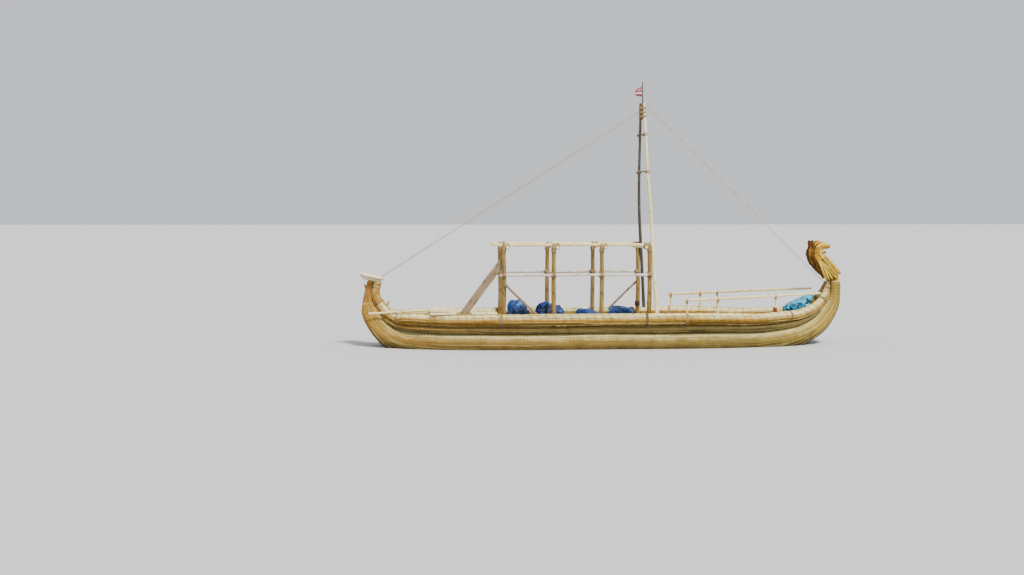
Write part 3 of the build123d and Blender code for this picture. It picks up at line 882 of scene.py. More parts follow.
def cross_lashing(centre, way_a, radius_a, way_b, radius_b, offset, turns, rope):
    """Crossed turns of rope that tie pole b to pole a.

    centre is the middle of pole a at the joint, and offset leads from it to the middle of pole b.
    """
    way_a, way_b, offset = Vector(way_a).normalized(), Vector(way_b).normalized(), Vector(offset)
    apart = offset.normalized()
    lines = []
    for sign in (1, -1):
        stack = (way_a + sign * way_b).normalized()
        flat = stack.cross(apart).normalized()
        a_wide = radius_a / max(0.2, abs(way_a.dot(stack)))
        b_wide = radius_b / max(0.2, abs(way_b.dot(stack)))
        discs = [((0, 0), (a_wide, radius_a)), ((0, offset.length), (b_wide, radius_b))]
        loop = hull_loop(discs, rope * ROPE_LIFT)
        for number in range(turns):
            shift = stack * (number - (turns - 1) / 2) * rope * CROSSED_TURN_STEP
            points = [Vector(centre) + shift + flat * u + apart * v for u, v in loop]
            lines.append((points, rope))
    return lines


def ring_lashing(centre, way, discs, turns, rope):
    """Turns of rope round poles that run alongside: discs are (offset, radius) in the plane."""
    way = Vector(way).normalized()
    side = way.cross(Vector((0, 0, 1))) if abs(way.z) < 0.9 else way.cross(Vector((1, 0, 0)))
    side.normalize()
    other = way.cross(side)
    circles = []
    for offset, radius in discs:
        offset = Vector(offset)
        circles.append(((offset.dot(side), offset.dot(other)), (radius, radius)))
    loop = hull_loop(circles, rope * ROPE_LIFT)
    lines = []
    for number in range(turns):
        shift = way * (number - (turns - 1) / 2) * rope * TURN_STEP
        lines.append(([Vector(centre) + shift + side * u + other * v for u, v in loop], rope))
    return lines


# Settings


class ReedSettings(bpy.types.PropertyGroup):
    """Sizes of the reeds and of the cord that binds them."""

    reed_radius: FloatProperty(
        name="Reed radius", description="Radius of a single dried reed", default=0.0055, unit="LENGTH"
    )
    cord_radius: FloatProperty(
        name="Cord radius", description="Radius of the cord wound round the bundles",
        default=0.0042, unit="LENGTH",
    )
    cord_pitch: FloatProperty(
        name="Cord pitch", description="Run between turns of the cord on the main bundles",
        default=0.062, unit="LENGTH",
    )
    gunwale_pitch: FloatProperty(
        name="Gunwale pitch", description="Run between turns of the cord on the gunwales",
        default=0.15, unit="LENGTH",
    )
    main_reeds: IntProperty(
        name="Reeds on a main bundle", description="Single reeds that stand proud of each main bundle",
        default=60,
    )
    gunwale_reeds: IntProperty(
        name="Reeds on a gunwale", description="Single reeds that stand proud of each gunwale bundle",
        default=80,
    )
    seed: IntProperty(name="Seed", description="Start of the random draws", default=11)


class TimberSettings(bpy.types.PropertyGroup):
    """Poles and the rope that lashes them."""

    rope_radius: FloatProperty(
        name="Rope radius", description="Radius of the lashing rope", default=0.006, unit="LENGTH"
    )
    bend: FloatProperty(
        name="Bend", description="How far the middle of a pole wanders off its line",
        default=0.006, unit="LENGTH",
    )
    seed: IntProperty(name="Seed", description="Start of the random draws", default=23)


class ClothSettings(bpy.types.PropertyGroup):
    """Folded covers and the flag."""

    cell: FloatProperty(
        name="Cell", description="Side of a cell of the simulated cloth", default=0.022, unit="LENGTH"
    )
    frames: IntProperty(name="Frames", description="Frames over which the cloth settles", default=55)
    seed: IntProperty(name="Seed", description="Start of the random draws", default=37)


class StageSettings(bpy.types.PropertyGroup):
    """Floor, light and camera."""

    world_colour: FloatVectorProperty(
        name="Sky colour", description="Colour of the even light", subtype="COLOR", size=4,
        default=(0.90, 0.93, 0.97, 1.0),
    )
    world_strength: FloatProperty(
        name="Sky strength", description="Strength of the even light", default=0.85
    )
    sun_strength: FloatProperty(
        name="Sun strength", description="Strength of the soft main light", default=5.4
    )
    camera_height: FloatProperty(
        name="Camera height", description="Height of the camera over the water", default=2.5, unit="LENGTH"
    )
    floor_size: FloatProperty(
        name="Floor size", description="Side of the floor", default=600.0, unit="LENGTH"
    )


SETTINGS = {
    "reedboat_reeds": ReedSettings,
    "reedboat_timber": TimberSettings,
    "reedboat_cloth": ClothSettings,
    "reedboat_stage": StageSettings,
}


# The boat's bundles


def make_bundles():
    """The bundles of the hull, by name, as smooth skins to lay reeds and cords on."""
    reeds = bpy.context.scene.reedboat_reeds
    rows = hull_layout()
    made = {}
    for name, side in SIDES.items():
        made[f"main_{name}"] = Bundle(
            rows["main"], side, seed=3 + side, swell=0.007,
            pitch=reeds.cord_pitch, pinch=0.004, ends=(0.085, 0.06),
        )
        made[f"side_{name}"] = Bundle(
            rows["side"], side, seed=13 + side, swell=0.012,
            pitch=SIDE_PITCH, pinch=0.005, follows=True,
        )
        made[f"gunwale_{name}"] = Bundle(
            rows["gunwale"], side, seed=23 + side, swell=0.011,
            pitch=reeds.gunwale_pitch, pinch=0.006, follows=True,
        )
    # The rest stand on the boat's middle plane. Rows: x, z, y, half width, half thickness, corner
    made["core"] = Bundle(
        [(-2.7, 0.437, 0, 0.058, 0.058, 0.058), (2.7, 0.437, 0, 0.058, 0.058, 0.058)],
        seed=37, swell=0.004, ends=(0.05, 0.05),
    )
    made["neck"] = Bundle(
        [
            # It starts as a sleeve bound round the main bundles' ends.
            (-4.551, 0.985, 0, 0.152, 0.106, 0.084),
            (-4.556, 1.040, 0, 0.152, 0.102, 0.084),
            (-4.557, 1.100, 0, 0.146, 0.088, 0.076),
            (-4.555, 1.190, 0, 0.136, 0.069, 0.062),
            (-4.533, 1.330, 0, 0.127, 0.057, 0.052),
            (-4.494, 1.480, 0, 0.124, 0.060, 0.057),
        ],
        seed=41, swell=0.01, pitch=0.05, pinch=0.005,
    )
    made["head"] = Bundle(
        [
            (4.598, 1.330, 0, 0.104, 0.104, 0.102),
            (4.588, 1.440, 0, 0.106, 0.105, 0.103),
            (4.547, 1.540, 0, 0.120, 0.118, 0.115),
            (4.450, 1.635, 0, 0.132, 0.130, 0.127),
            (4.335, 1.738, 0, 0.140, 0.138, 0.135),
            (4.240, 1.850, 0, 0.144, 0.142, 0.139),
            (4.194, 1.960, 0, 0.142, 0.136, 0.133),
            (4.208, 2.062, 0, 0.134, 0.120, 0.117),
            (4.280, 2.122, 0, 0.120, 0.090, 0.088),
            (4.368, 2.120, 0, 0.096, 0.058, 0.057),
            (4.448, 2.106, 0, 0.072, 0.038, 0.037),
            (4.506, 2.100, 0, 0.050, 0.027, 0.026),
        ],
        seed=43, swell=0.012, pitch=0.075, pinch=0.008, ends=(0.0, 0.03),
    )
    made["jaw"] = Bundle(
        [
            (4.200, 1.940, 0, 0.095, 0.048, 0.046),
            (4.240, 1.965, 0, 0.095, 0.048, 0.047),
            (4.340, 1.992, 0, 0.080, 0.033, 0.032),
            (4.425, 1.985, 0, 0.056, 0.022, 0.021),
        ],
        seed=47, swell=0.008, pitch=0.05, pinch=0.005, ends=(0.0, 0.025),
    )
    return made


shared = {}


def bundles():
    """The bundles, made on first use."""
    if not shared:
        shared.update(make_bundles())
    return shared


# Pieces


class ReedOperator:
    """What all the boat's operators share."""

    bl_options = {"REGISTER", "UNDO"}


# Shortest and longest single reed on a hull bundle, and the thinnest and thickest in reed radii
PROUD_REED_LENGTHS = (0.9, 2.4)
PROUD_REED_RADII = (0.7, 1.15)


class REEDBOAT_OT_hull(ReedOperator, bpy.types.Operator):
    """Main, side and gunwale bundles with their proud reeds"""

    bl_idname = "reedboat.hull"
    bl_label = "Hull bundles"

    def execute(self, context):
        reeds = context.scene.reedboat_reeds
        rng = random.Random(reeds.seed)
        sizes = {
            # name: (along, around, finishes, single reeds, arc of the skin that they lie on)
            "main": (640, 48, ("main", "reed"), reeds.main_reeds, (0.12, 0.56)),
            "side": (220, 16, ("side", "side_reed"), 40, (0.1, 0.45)),
            "gunwale": (360, 26, ("gunwale", "reed"), reeds.gunwale_reeds, (0.0, 1.0)),
        }
        for name in SIDES:
            for kind, (along, around, (material, loose), count, arc) in sizes.items():
                bundle = bundles()[f"{kind}_{name}"]
                made = bundle_mesh(f"reeds_{kind}_{name}", bundle, along, around)
                finish_piece(
                    made, finishes.made_all[material],
                    [f"{kind}_bundle_{name}"],
                )
                radii = [share * reeds.reed_radius for share in PROUD_REED_RADII]
                lines = laid_reeds(bundle, rng, count, arc, PROUD_REED_LENGTHS, radii, loose=0.12)
                made = strands(f"proud_reeds_{kind}_{name}", lines)
                finish_piece(made, finishes.made_all[loose])
        made = bundle_mesh("reeds_core", bundles()["core"], 120, 20)
        finish_piece(made, finishes.made_all["main"], ["core_bundle"])
        return {"FINISHED"}


WINDINGS = (
    # bundle, clear run at its start and at its end, share of the cord's radius, points to a turn
    ("main", 0.07, 0.02, 1.0, 24),
    ("gunwale", 0.08, 0.05, 1.0, 14),
    ("side", 0.05, 0.05, 0.8, 12),
)
# Rope bands on each gunwale bundle: x and number of turns
GUNWALE_BANDS = ((-3.95, 5), (-2.035, 6), (0.70, 5), (1.46, 4), (3.55, 4))


class REEDBOAT_OT_bindings(ReedOperator, bpy.types.Operator):
    """Cord wound round the bundles, and tight bands of rope on the gunwales"""

    bl_idname = "reedboat.bindings"
    bl_label = "Cord windings"

    def execute(self, context):
        radius = context.scene.reedboat_reeds.cord_radius
        for name in SIDES:
            lines = []
            for kind, clear_start, clear_end, share, steps in WINDINGS:
                bundle = bundles()[f"{kind}_{name}"]
                lines.append(winding(bundle, clear_start, bundle.length - clear_end, share * radius, steps))
            made = strands(f"cord_windings_{name}", lines)
            # The cords take the side bundle's darker reed, which paints the shade in the pinched grooves.
            finish_piece(made, finishes.made_all["side_reed"])
            gunwale = bundles()[f"gunwale_{name}"]
            bands = []
            for x, turns in GUNWALE_BANDS:
                run = gunwale.line.distance(0, x, GUNWALE_FLAT_RUN)
                bands.append(band(gunwale, run, turns, 1.3 * radius, 20))
            for run in (0.10, 0.42, gunwale.length - 0.12, gunwale.length - 0.4):
                bands.append(band(gunwale, run, 5, 1.2 * radius, 20))
            made = strands(f"bands_{name}", bands)
            finish_piece(made, finishes.made_all["rope"])
        return {"FINISHED"}


DECK_MATS = (
    # node, start, end
    ("deck_mat_aft", -3.3, -2.1),
    ("deck_mat_middle", -2.1, 0.95),
    ("deck_mat_fore", 0.95, 3.0),
)
# Heights of a mat's layers of reeds. The top one dips where the mat is tied down between its rolls.
DECK_LAYERS = (0.514, 0.551, 0.588)
DIP_DEPTH = 0.017
DIP_WIDTH = 0.012
DECK_REED_RADIUS = 0.011
DECK_REED_STEP = 1.9
DECK_HALF_WIDTH = 0.8
DECK_EDGE_GAP = 0.012


class REEDBOAT_OT_deck(ReedOperator, bpy.types.Operator):
    """Mats of reeds laid lengthwise between the gunwales"""

    bl_idname = "reedboat.deck"
    bl_label = "Deck mats"

    def execute(self, context):
        rng = random.Random(context.scene.reedboat_reeds.seed + 5)
        gunwale = bundles()["gunwale_port"]
        side = bundles()["side_port"]
        for node, start, end in DECK_MATS:
            lines = []
            for z in DECK_LAYERS:
                y = -DECK_HALF_WIDTH
                while y < DECK_HALF_WIDTH:
                    y += DECK_REED_RADIUS * DECK_REED_STEP
                    off = abs((y + ROLL_SPACING / 2) % ROLL_SPACING - ROLL_SPACING / 2)
                    dip = DIP_DEPTH * math.exp(-(((ROLL_SPACING / 2 - off) / DIP_WIDTH) ** 2))
                    if z != DECK_LAYERS[-1]:
                        dip = 0
                    places = []
                    for x in np.linspace(start + rng.uniform(-0.05, 0.03), end + rng.uniform(-0.03, 0.05), 7):
                        inner = gunwale.line.at(gunwale.line.distance(0, x, GUNWALE_FLAT_RUN))[0]
                        low = side.line.at(side.line.distance(0, x, SIDE_FLAT_RUN))[0]
                        room = min(inner[2] - inner[3], low[2] - low[3]) - DECK_EDGE_GAP
                        height = z - dip + rng.uniform(-0.002, 0.001)
                        places.append((x, y + rng.uniform(-0.004, 0.004), height, room))
                    inside = [place[:3] for place in places if abs(place[1]) < place[3]]
                    if len(inside) > 2:
                        lines.append((inside, DECK_REED_RADIUS * rng.uniform(0.8, 1.1)))
            made = strands(f"reeds_{node}", lines, 1)
            finish_piece(made, finishes.made_all["deck_reed"], [node])
        return {"FINISHED"}


def spun(name, profile, steps, centre, tilt):
    """Closed outline in the XZ plane spun round Z, then tilted and set in place."""
    bm = bmesh.new()
    points = [bm.verts.new((x, 0, z)) for x, z in profile]
    edges = [bm.edges.new((a, b)) for a, b in zip(points, points[1:])]
    bmesh.ops.spin(
        bm, geom=points + edges, cent=(0, 0, 0), axis=(0, 0, 1), angle=2 * math.pi, steps=steps,
        use_merge=True,
    )
    bmesh.ops.remove_doubles(bm, verts=bm.verts, dist=1e-5)
    bmesh.ops.recalc_face_normals(bm, faces=bm.faces)
    bm.transform(Matrix.Translation(centre) @ Matrix.Rotation(tilt, 4, "Y"))
    return to_object(bm, name)


CAP_CENTRE = (-4.4925, 0.0, 1.525)
CAP_TILT = math.radians(13)
# Radius and height along half the cap's outline, along a reed under its edge, and of its cords
CAP_PROFILE = (
    (0, -0.045), (0.160, -0.045), (0.190, -0.032), (0.203, -0.010), (0.197, 0.001),
    (0.220, 0.012), (0.229, 0.025), (0.209, 0.043), (0, 0.054),
)
CAP_LOW_REED = ((0.09, -0.046), (0.163, -0.045), (0.194, -0.032), (0.208, -0.010), (0.203, 0.0))
CAP_CORDS = ((0.203, 0.001), (0.150, -0.049))
CAP_ROPE_RADIUS = 0.0045


def cap_place(radius, angle, height):
    """Point of the tilted stern cap."""
    flat = Vector((radius * math.cos(angle), radius * math.sin(angle), height))
    return Vector(CAP_CENTRE) + Matrix.Rotation(CAP_TILT, 3, "Y") @ flat


class REEDBOAT_OT_stern(ReedOperator, bpy.types.Operator):
    """Stern neck and the flared cap of bound reed ends"""

    bl_idname = "reedboat.stern"
    bl_label = "Stern neck and cap"

    def execute(self, context):
        rng = random.Random(context.scene.reedboat_reeds.seed + 9)
        neck = bundles()["neck"]
        made = bundle_mesh("reeds_stern_neck", neck, 70, 40)
        finish_piece(made, finishes.made_all["neck"], ["stern_neck"])
        lines = laid_reeds(neck, rng, 60, (0, 1), (0.3, 0.6), (0.004, 0.0065), loose=0.1)
        made = strands("proud_reeds_neck", lines)
        finish_piece(made, finishes.made_all["neck_reed"])
        made = spun("cap_core", CAP_PROFILE, 64, CAP_CENTRE, CAP_TILT)
        finish_piece(made, finishes.made_all["cap_reed"], ["stern_cap"])
        lines = []
        for angle in np.linspace(0, 2 * math.pi, 150, endpoint=False):
            angle += rng.uniform(-0.01, 0.01)
            out = 0.235 + rng.uniform(-0.006, 0.003)
            high = ((0.203, 0.002), (out - 0.011, 0.012), (out, 0.025), (out - 0.020, 0.044), (0.10, 0.053))
            for path in (CAP_LOW_REED, high):
                lines.append(([cap_place(r, angle, h) for r, h in path], 0.0062))
        for _ in range(420):
            spot = 0.2 * math.sqrt(rng.random())
            angle = rng.uniform(0, 2 * math.pi)
            foot = cap_place(spot, angle, 0.042)
            reach = spot + rng.uniform(-0.006, 0.008)
            height = 0.060 - 0.055 * spot + rng.uniform(-0.004, 0.004)
            tip = cap_place(reach, angle, height)
            lines.append(([foot, foot.lerp(tip, 0.5), tip], 0.0055))
        made = strands("cap_reeds", lines, 1)
        finish_piece(made, finishes.made_all["cap_reed"])
        lines = []
        angles = np.linspace(0, 2 * math.pi, 61)
        for ring_radius, height in CAP_CORDS:
            for level in (height - CAP_ROPE_RADIUS, height + CAP_ROPE_RADIUS):
                lines.append(([cap_place(ring_radius + 0.004, a, level) for a in angles], CAP_ROPE_RADIUS))
        made = strands("cap_cords", lines, 1)
        finish_piece(made, finishes.made_all["cord"])
        return {"FINISHED"}


# Sheaves of the beard to port: foot at the throat, then tip
BEARD = (
    ((4.390, 0.044, 1.918), (4.721, 0.060, 1.557)),
    ((4.368, 0.100, 1.903), (4.658, 0.118, 1.587)),
    ((4.318, 0.155, 1.872), (4.575, 0.147, 1.562)),
)
# Where the straight reeds beside the neck end: x and z. The first end is to starboard only.
FAN_TIPS = ((4.364, 1.439), (4.430, 1.447), (4.504, 1.471), (4.579, 1.495), (4.630, 1.519))
# The ear to port: middle of its foot, of its tip and of its binding, and the way that it points
EAR_FOOT = (4.136, 0.084, 2.09)
EAR_TIP = (4.112, 0.086, 2.238)
EAR_BINDING = (4.128, 0.085, 2.15)
EAR_WAY = (-0.17, 0, 0.98)


def sided(place, side):
    """Place to port, or its mirror image to starboard."""
    x, y, z = place
    return Vector((x, side * y, z))


def mane_reeds(head, rng):
    """Short reeds that stand off the back of the neck and thin to their tips."""
    lines = []
    share = np.linspace(0, 1, 5)
    for _ in range(190):
        run = rng.uniform(0.30, 0.98)
        turn = 0.5 + rng.uniform(-0.22, 0.22) + rng.uniform(-0.04, 0.04) * share
        length = rng.uniform(0.14, 0.28)
        lift = 0.005 + share**2 * rng.uniform(0.008, 0.038)
        lines.append((head.skin(run - length * share, turn, lift), 0.0075 * (1.1 - 0.6 * share)))
    return lines


def ear_reeds(rng):
    """Two upright sheaves of short reeds, each bound with three turns of cord."""
    lines = []
    for side in SIDES.values():
        for _ in range(34):
            angle, spot = rng.uniform(0, 6.28), math.sqrt(rng.random())
            x = EAR_FOOT[0] + 0.040 * spot * math.cos(angle)
            y = side * (EAR_FOOT[1] + 0.038 * spot * math.sin(angle))
            foot = Vector((x, y, EAR_FOOT[2]))
            tip = sided(EAR_TIP, side) + 0.75 * (foot - sided(EAR_FOOT, side))
            tip.z += rng.uniform(-0.025, 0.004) - 0.05 * spot**2
            lines.append(([foot, foot.lerp(tip, 0.5), tip], [0.0085, 0.0085, 0.007]))
        for number in range(3):
            centre = sided(EAR_BINDING, side) + Vector(EAR_WAY) * 0.011 * number
            lines += ring_lashing(centre, EAR_WAY, [((0, 0, 0), 0.037)], 1, 0.0055)
    return lines


def beard_reeds(rng):
    """Sheaves of six straight reeds under the jaw, and the ties round them."""
    sheaves, ties = [], []
    for side in SIDES.values():
        for foot, tip in BEARD:
            foot, tip = sided(foot, side), sided(tip, side)
            way = (tip - foot).normalized()
            across = way.cross(Vector((0, 1, 0))).normalized()
            for number in range(6):
                angle = number * math.pi / 3
                off = (across * math.cos(angle) + way.cross(across) * math.sin(angle)) * 0.014
                end = tip + off * 1.15 + way * rng.uniform(-0.05, 0.004)
                sheaves.append(([foot + off, (foot + end) / 2 + off, end], [0.0095, 0.0105, 0.0095]))
            ties += ring_lashing(foot.lerp(tip, 0.12), way, [((0, 0, 0), 0.026)], 3, 0.0045)
    return sheaves, ties


def fan_reeds(rng):
    """Straight reeds that spread from the skull down both sides of the neck."""
    lines = []
    for side in SIDES.values():
        for x, z in FAN_TIPS[1:] if side > 0 else FAN_TIPS:
            for _ in range(5):
                foot_x = 4.24 + rng.uniform(-0.02, 0.03)
                foot = Vector((foot_x, side * 0.136, 1.84 + rng.uniform(-0.03, 0.02)))
                tip_x = x + rng.uniform(-0.022, 0.022)
                tip_y = side * rng.uniform(0.140, 0.160)
                tip = Vector((tip_x, tip_y, z + rng.uniform(-0.01, 0.05)))
                middle = foot.lerp(tip, 0.5) + Vector((0, 0.02 * side, 0))
                lines.append(([foot, middle, tip], [0.0085, 0.0095, 0.008]))
    return lines


class REEDBOAT_OT_head(ReedOperator, bpy.types.Operator):
    """Animal head of bound reeds on the stem: neck, jaws, ears and the fan of straight reeds"""

    bl_idname = "reedboat.head"
    bl_label = "Bow head"

    def execute(self, context):
        rng = random.Random(context.scene.reedboat_reeds.seed + 13)
        head, jaw = bundles()["head"], bundles()["jaw"]
        made = bundle_mesh("reeds_head", head, 120, 40)
        nodes = ["head_neck", "head_skull", "head_upper_jaw"]
        finish_piece(made, finishes.made_all["head"], nodes)
        made = bundle_mesh("reeds_jaw", jaw, 30, 28)
        finish_piece(made, finishes.made_all["head"], ["head_lower_jaw"])
        golden = laid_reeds(head, rng, 70, (0, 1), (0.35, 0.9), (0.006, 0.009), loose=0.5, step=0.05)
        bright = laid_reeds(head, rng, 50, (-0.2, 0.2), (0.25, 0.6), (0.007, 0.011), loose=0.5, step=0.05)
        bright += laid_reeds(jaw, rng, 24, (0, 1), (0.15, 0.25), (0.005, 0.007), loose=0.3, step=0.04)
        snout = (head.length - 0.30, head.length - 0.02)
        bright += laid_reeds(head, rng, 34, (0, 1), (0.15, 0.28), (0.006, 0.009), snout, 0.3, step=0.04)
        # The mane's reeds are darker than the rest of the head: partly their own tone, partly painted shade
        # on the back of the head.
        mane = mane_reeds(head, rng)
        cords = [band(head, run, 2, 0.005, 26) for run in np.arange(0.06, head.length - 0.05, 0.075)]
        cords += [band(jaw, run, 2, 0.004, 20) for run in np.arange(0.08, jaw.length - 0.02, 0.06)]
        ears = ear_reeds(rng)
        beard, ties = beard_reeds(rng)
        fan = fan_reeds(rng)
        for name, lines, sides, material, nodes in (
            ("head_proud_reeds", golden, 1, "head_reed", ()),
            ("head_bright_reeds", bright, 1, "beard_reed", ()),
            ("head_mane", mane, 0, "dark_reed", ()),
            ("head_cords", cords, 0, "cord", ()),
            ("head_ear_reeds", ears, 1, "dark_reed", ["head_ears"]),
            ("head_fan_reeds", fan, 1, "beard_reed", ()),
            ("head_beard_ties", ties, 1, "reed", ()),
            ("head_beard_reeds", beard, 1, "beard_reed", ["head_beard"]),
        ):
            made = strands(name, lines, sides)
            finish_piece(made, finishes.made_all[material], nodes)
        return {"FINISHED"}


def pole(name, stations, rng, around, bend, material, step=0.05):
    """Finished pole that stands for the CAD node of its name."""
    made = pole_mesh(f"{name}_pole", stations, rng, around, bend, step)
    finish_piece(made, finishes.made_all[material], [name])


def sawn_board(name, length, width, thickness, rng, warp):
    """Sawn board about the origin, lengthwise on X: worn edges, a slight warp and a map along its grain."""
    bm = bmesh.new()
    bm.loops.layers.uv.new("Skin")
    bmesh.ops.create_cube(bm, size=1.0)
    bmesh.ops.scale(bm, vec=(length, width, thickness), verts=bm.verts)
    long_edges = [e for e in bm.edges if abs(e.verts[0].co.x - e.verts[1].co.x) > length / 2]
    bmesh.ops.subdivide_edges(bm, edges=long_edges, cuts=14, use_grid_fill=True)
    bmesh.ops.bevel(
        bm, geom=[e for e in bm.edges if e.calc_face_angle(0) > 1.0],
        offset=min(0.004, 0.2 * thickness), offset_type="OFFSET", affect="EDGES",
        segments=2, profile=0.5, material=-1,
    )
    f, p, q = rng.uniform(2, 5), rng.uniform(0, 6), rng.uniform(0, 6)
    for vert in bm.verts:
        x, y = vert.co.x, vert.co.y
        vert.co.z += warp * math.sin(f * x + p) + 0.4 * warp * (2 * y / width) ** 2
        vert.co.y += 0.35 * warp * math.sin(1.7 * f * x + q)
    skin = bm.loops.layers.uv.verify()
    for face in bm.faces:
        for loop in face.loops:
            loop[skin].uv = (loop.vert.co.x, loop.vert.co.y + loop.vert.co.z)
    bmesh.ops.recalc_face_normals(bm, faces=bm.faces)
    made = to_object(bm, name)
    made.data.shade_flat()
    return made


BRACES = {
    # side: stations of x, y, z and radius
    "starboard": [
        (-1.975, -0.67, 1.43, 0.024), (-1.66, -0.685, 1.13, 0.024), (-1.345, -0.70, 0.83, 0.023),
    ],
    "port": [(0.80, 0.67, 1.41, 0.022), (0.512, 0.685, 1.13, 0.022), (0.225, 0.70, 0.85, 0.021)],
}
# The raking plank: length, width and thickness, and x and z of its foot and top
PLANK_SIZE = (1.64, 0.14, 0.028)
PLANK_FOOT = (-2.9, 0.6)
PLANK_TOP = (-2.03, 1.77)


class REEDBOAT_OT_shelter(ReedOperator, bpy.types.Operator):
    """Posts, rails, cross poles, braces and the raking plank of the shelter"""

    bl_idname = "reedboat.shelter"
    bl_label = "Shelter poles"

    def execute(self, context):
        settings = context.scene.reedboat_timber
        bend = settings.bend
        rng = random.Random(settings.seed)
        for name, side in SIDES.items():
            y = side * POST_Y
            for number, x in enumerate(POST_XS, 1):
                stations = [(x, y, 0.59, 0.043), (x + 0.004, y, 1.4, 0.041), (x, y, 2.14, 0.038)]
                pole(f"post_{number}_{name}", stations, rng, 18, bend, "post")
            z = TOP_RAIL_Z
            stations = [(-2.18, y, z, 0.026), (-0.6, y, z, 0.027), (0.85, y, z, 0.025)]
            pole(f"top_rail_{name}", stations, rng, 16, 0.8 * bend, "pale_pole")
            y = side * (POST_Y + MID_RAIL_OUT)
            z = MID_RAIL_Z
            stations = [(-2.06, y, z, 0.024), (-0.6, y, z, 0.024), (0.825, y, z, 0.023)]
            pole(f"mid_rail_{name}", stations, rng, 14, 0.8 * bend, "grey_pole")
        for number, x in enumerate(CROSS_POLE_XS, 1):
            stations = [(x, -0.694, 2.109, 0.028), (x, 0, 2.112, 0.028), (x, 0.694, 2.109, 0.027)]
            pole(f"cross_pole_{number}", stations, rng, 14, bend, "pale_pole")
        for name, stations in BRACES.items():
            pole(f"brace_{name}", stations, rng, 12, bend, "plank")
        made = sawn_board("raking_plank_board", *PLANK_SIZE, rng, 0.006)
        low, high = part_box("raking_plank")
        lean = math.atan2(PLANK_TOP[1] - PLANK_FOOT[1], PLANK_TOP[0] - PLANK_FOOT[0])
        middle = Vector(((low.x + high.x) / 2, (low.y + high.y) / 2, (low.z + high.z) / 2))
        made.data.transform(
            Matrix.Translation(middle) @ Matrix.Rotation(-lean, 4, "Y") @ Matrix.Rotation(math.pi / 2, 4, "X")
        )
        finish_piece(made, finishes.made_all["plank"], ["raking_plank"])
        return {"FINISHED"}


# Stations of x, y, z and radius
STARBOARD_LEG = [(0.905, -0.79, 0.80, 0.034), (0.836, -0.392, 2.85, 0.030), (0.778, 0.022, MASTHEAD_Z, 0.024)]
PORT_LEG = [(0.955, 0.79, 0.80, 0.034), (0.775, 0.398, 2.85, 0.030), (0.702, -0.022, MASTHEAD_Z, 0.024)]
STAFF = [(STAFF_X, 0, 4.56, 0.013), (STAFF_X + 0.003, 0, 4.95, 0.0115), (STAFF_X, 0, 5.287, 0.010)]
STAYS = (
    # name, foot, top
    ("forestay", (4.550, 0, 1.246), (0.802, 0, 4.850)),
    ("backstay_port", (-4.322, 0.060, 1.532), (0.678, 0.036, 4.715)),
    ("backstay_starboard", (-4.322, -0.060, 1.512), (0.678, -0.036, 4.685)),
)
# A stay's three strands: their radius, how far they lie off its line, and the length of one turn
STRAND_RADIUS = 0.0034
STRAND_OFF = 0.0032
STRAND_LAY = 0.05


class REEDBOAT_OT_mast(ReedOperator, bpy.types.Operator):
    """Two-legged mast, rungs, staff and stays"""

    bl_idname = "reedboat.mast"
    bl_label = "Mast and stays"

    def execute(self, context):
        settings = context.scene.reedboat_timber
        rng = random.Random(settings.seed + 3)
        pole("mast_leg_starboard", STARBOARD_LEG, rng, 16, settings.bend, "pale_pole")
        pole("mast_leg_port", PORT_LEG, rng, 16, settings.bend, "dark_pole")
        starboard, port = Run(STARBOARD_LEG, 3), Run(PORT_LEG, 3)
        for number, z in enumerate(RUNG_ZS, 1):
            a = starboard.at(starboard.distance(2, z))[0]
            b = port.at(port.distance(2, z))[0]
            stations = [
                (a[0] - RUNG_AFT, a[1] - 0.06, z, 0.013),
                (a[0] / 2 + b[0] / 2 - RUNG_AFT, 0, z + 0.004, 0.013),
                (b[0] - RUNG_AFT, b[1] + 0.06, z, 0.012),
            ]
            pole(f"mast_rung_{number}", stations, rng, 10, 0.002, "dark_pole", 0.02)
        pole("flagstaff", STAFF, rng, 10, 0.003, "dark_pole", 0.02)
        for name, foot, top in STAYS:
            foot, top = np.array(foot), np.array(top)
            length = np.linalg.norm(top - foot)
            share = np.linspace(0, 1, int(length / 0.02))[:, None]
            way = (top - foot) / length
            across = np.cross(way, (0, 1, 0))
            across /= np.linalg.norm(across)
            up = np.cross(way, across)
            lines = []
            for strand in range(3):
                angle = share * length / STRAND_LAY * 2 * math.pi + strand * 2 * math.pi / 3
                off = STRAND_OFF * (np.cos(angle) * across + np.sin(angle) * up)
                lines.append((foot + (top - foot) * share + off, STRAND_RADIUS))
            made = strands(f"{name}_rope", lines)
            finish_piece(made, finishes.made_all["stay"], [name])
        return {"FINISHED"}


BOW_RAILS = {
    # side: (rail stations, x of its sticks)
    "starboard": (
        [(1.44, -0.77, 1.108, 0.026), (3.26, -0.545, 1.170, 0.025), (4.262, -0.186, 1.190, 0.020)],
        (1.48, 2.09, 3.26),
    ),
    "port": (
        [(1.44, 0.77, 1.120, 0.026), (2.90, 0.590, 1.190, 0.025), (4.21, 0.200, 1.262, 0.020)],
        (1.50, 2.09, 2.43),
    ),
}


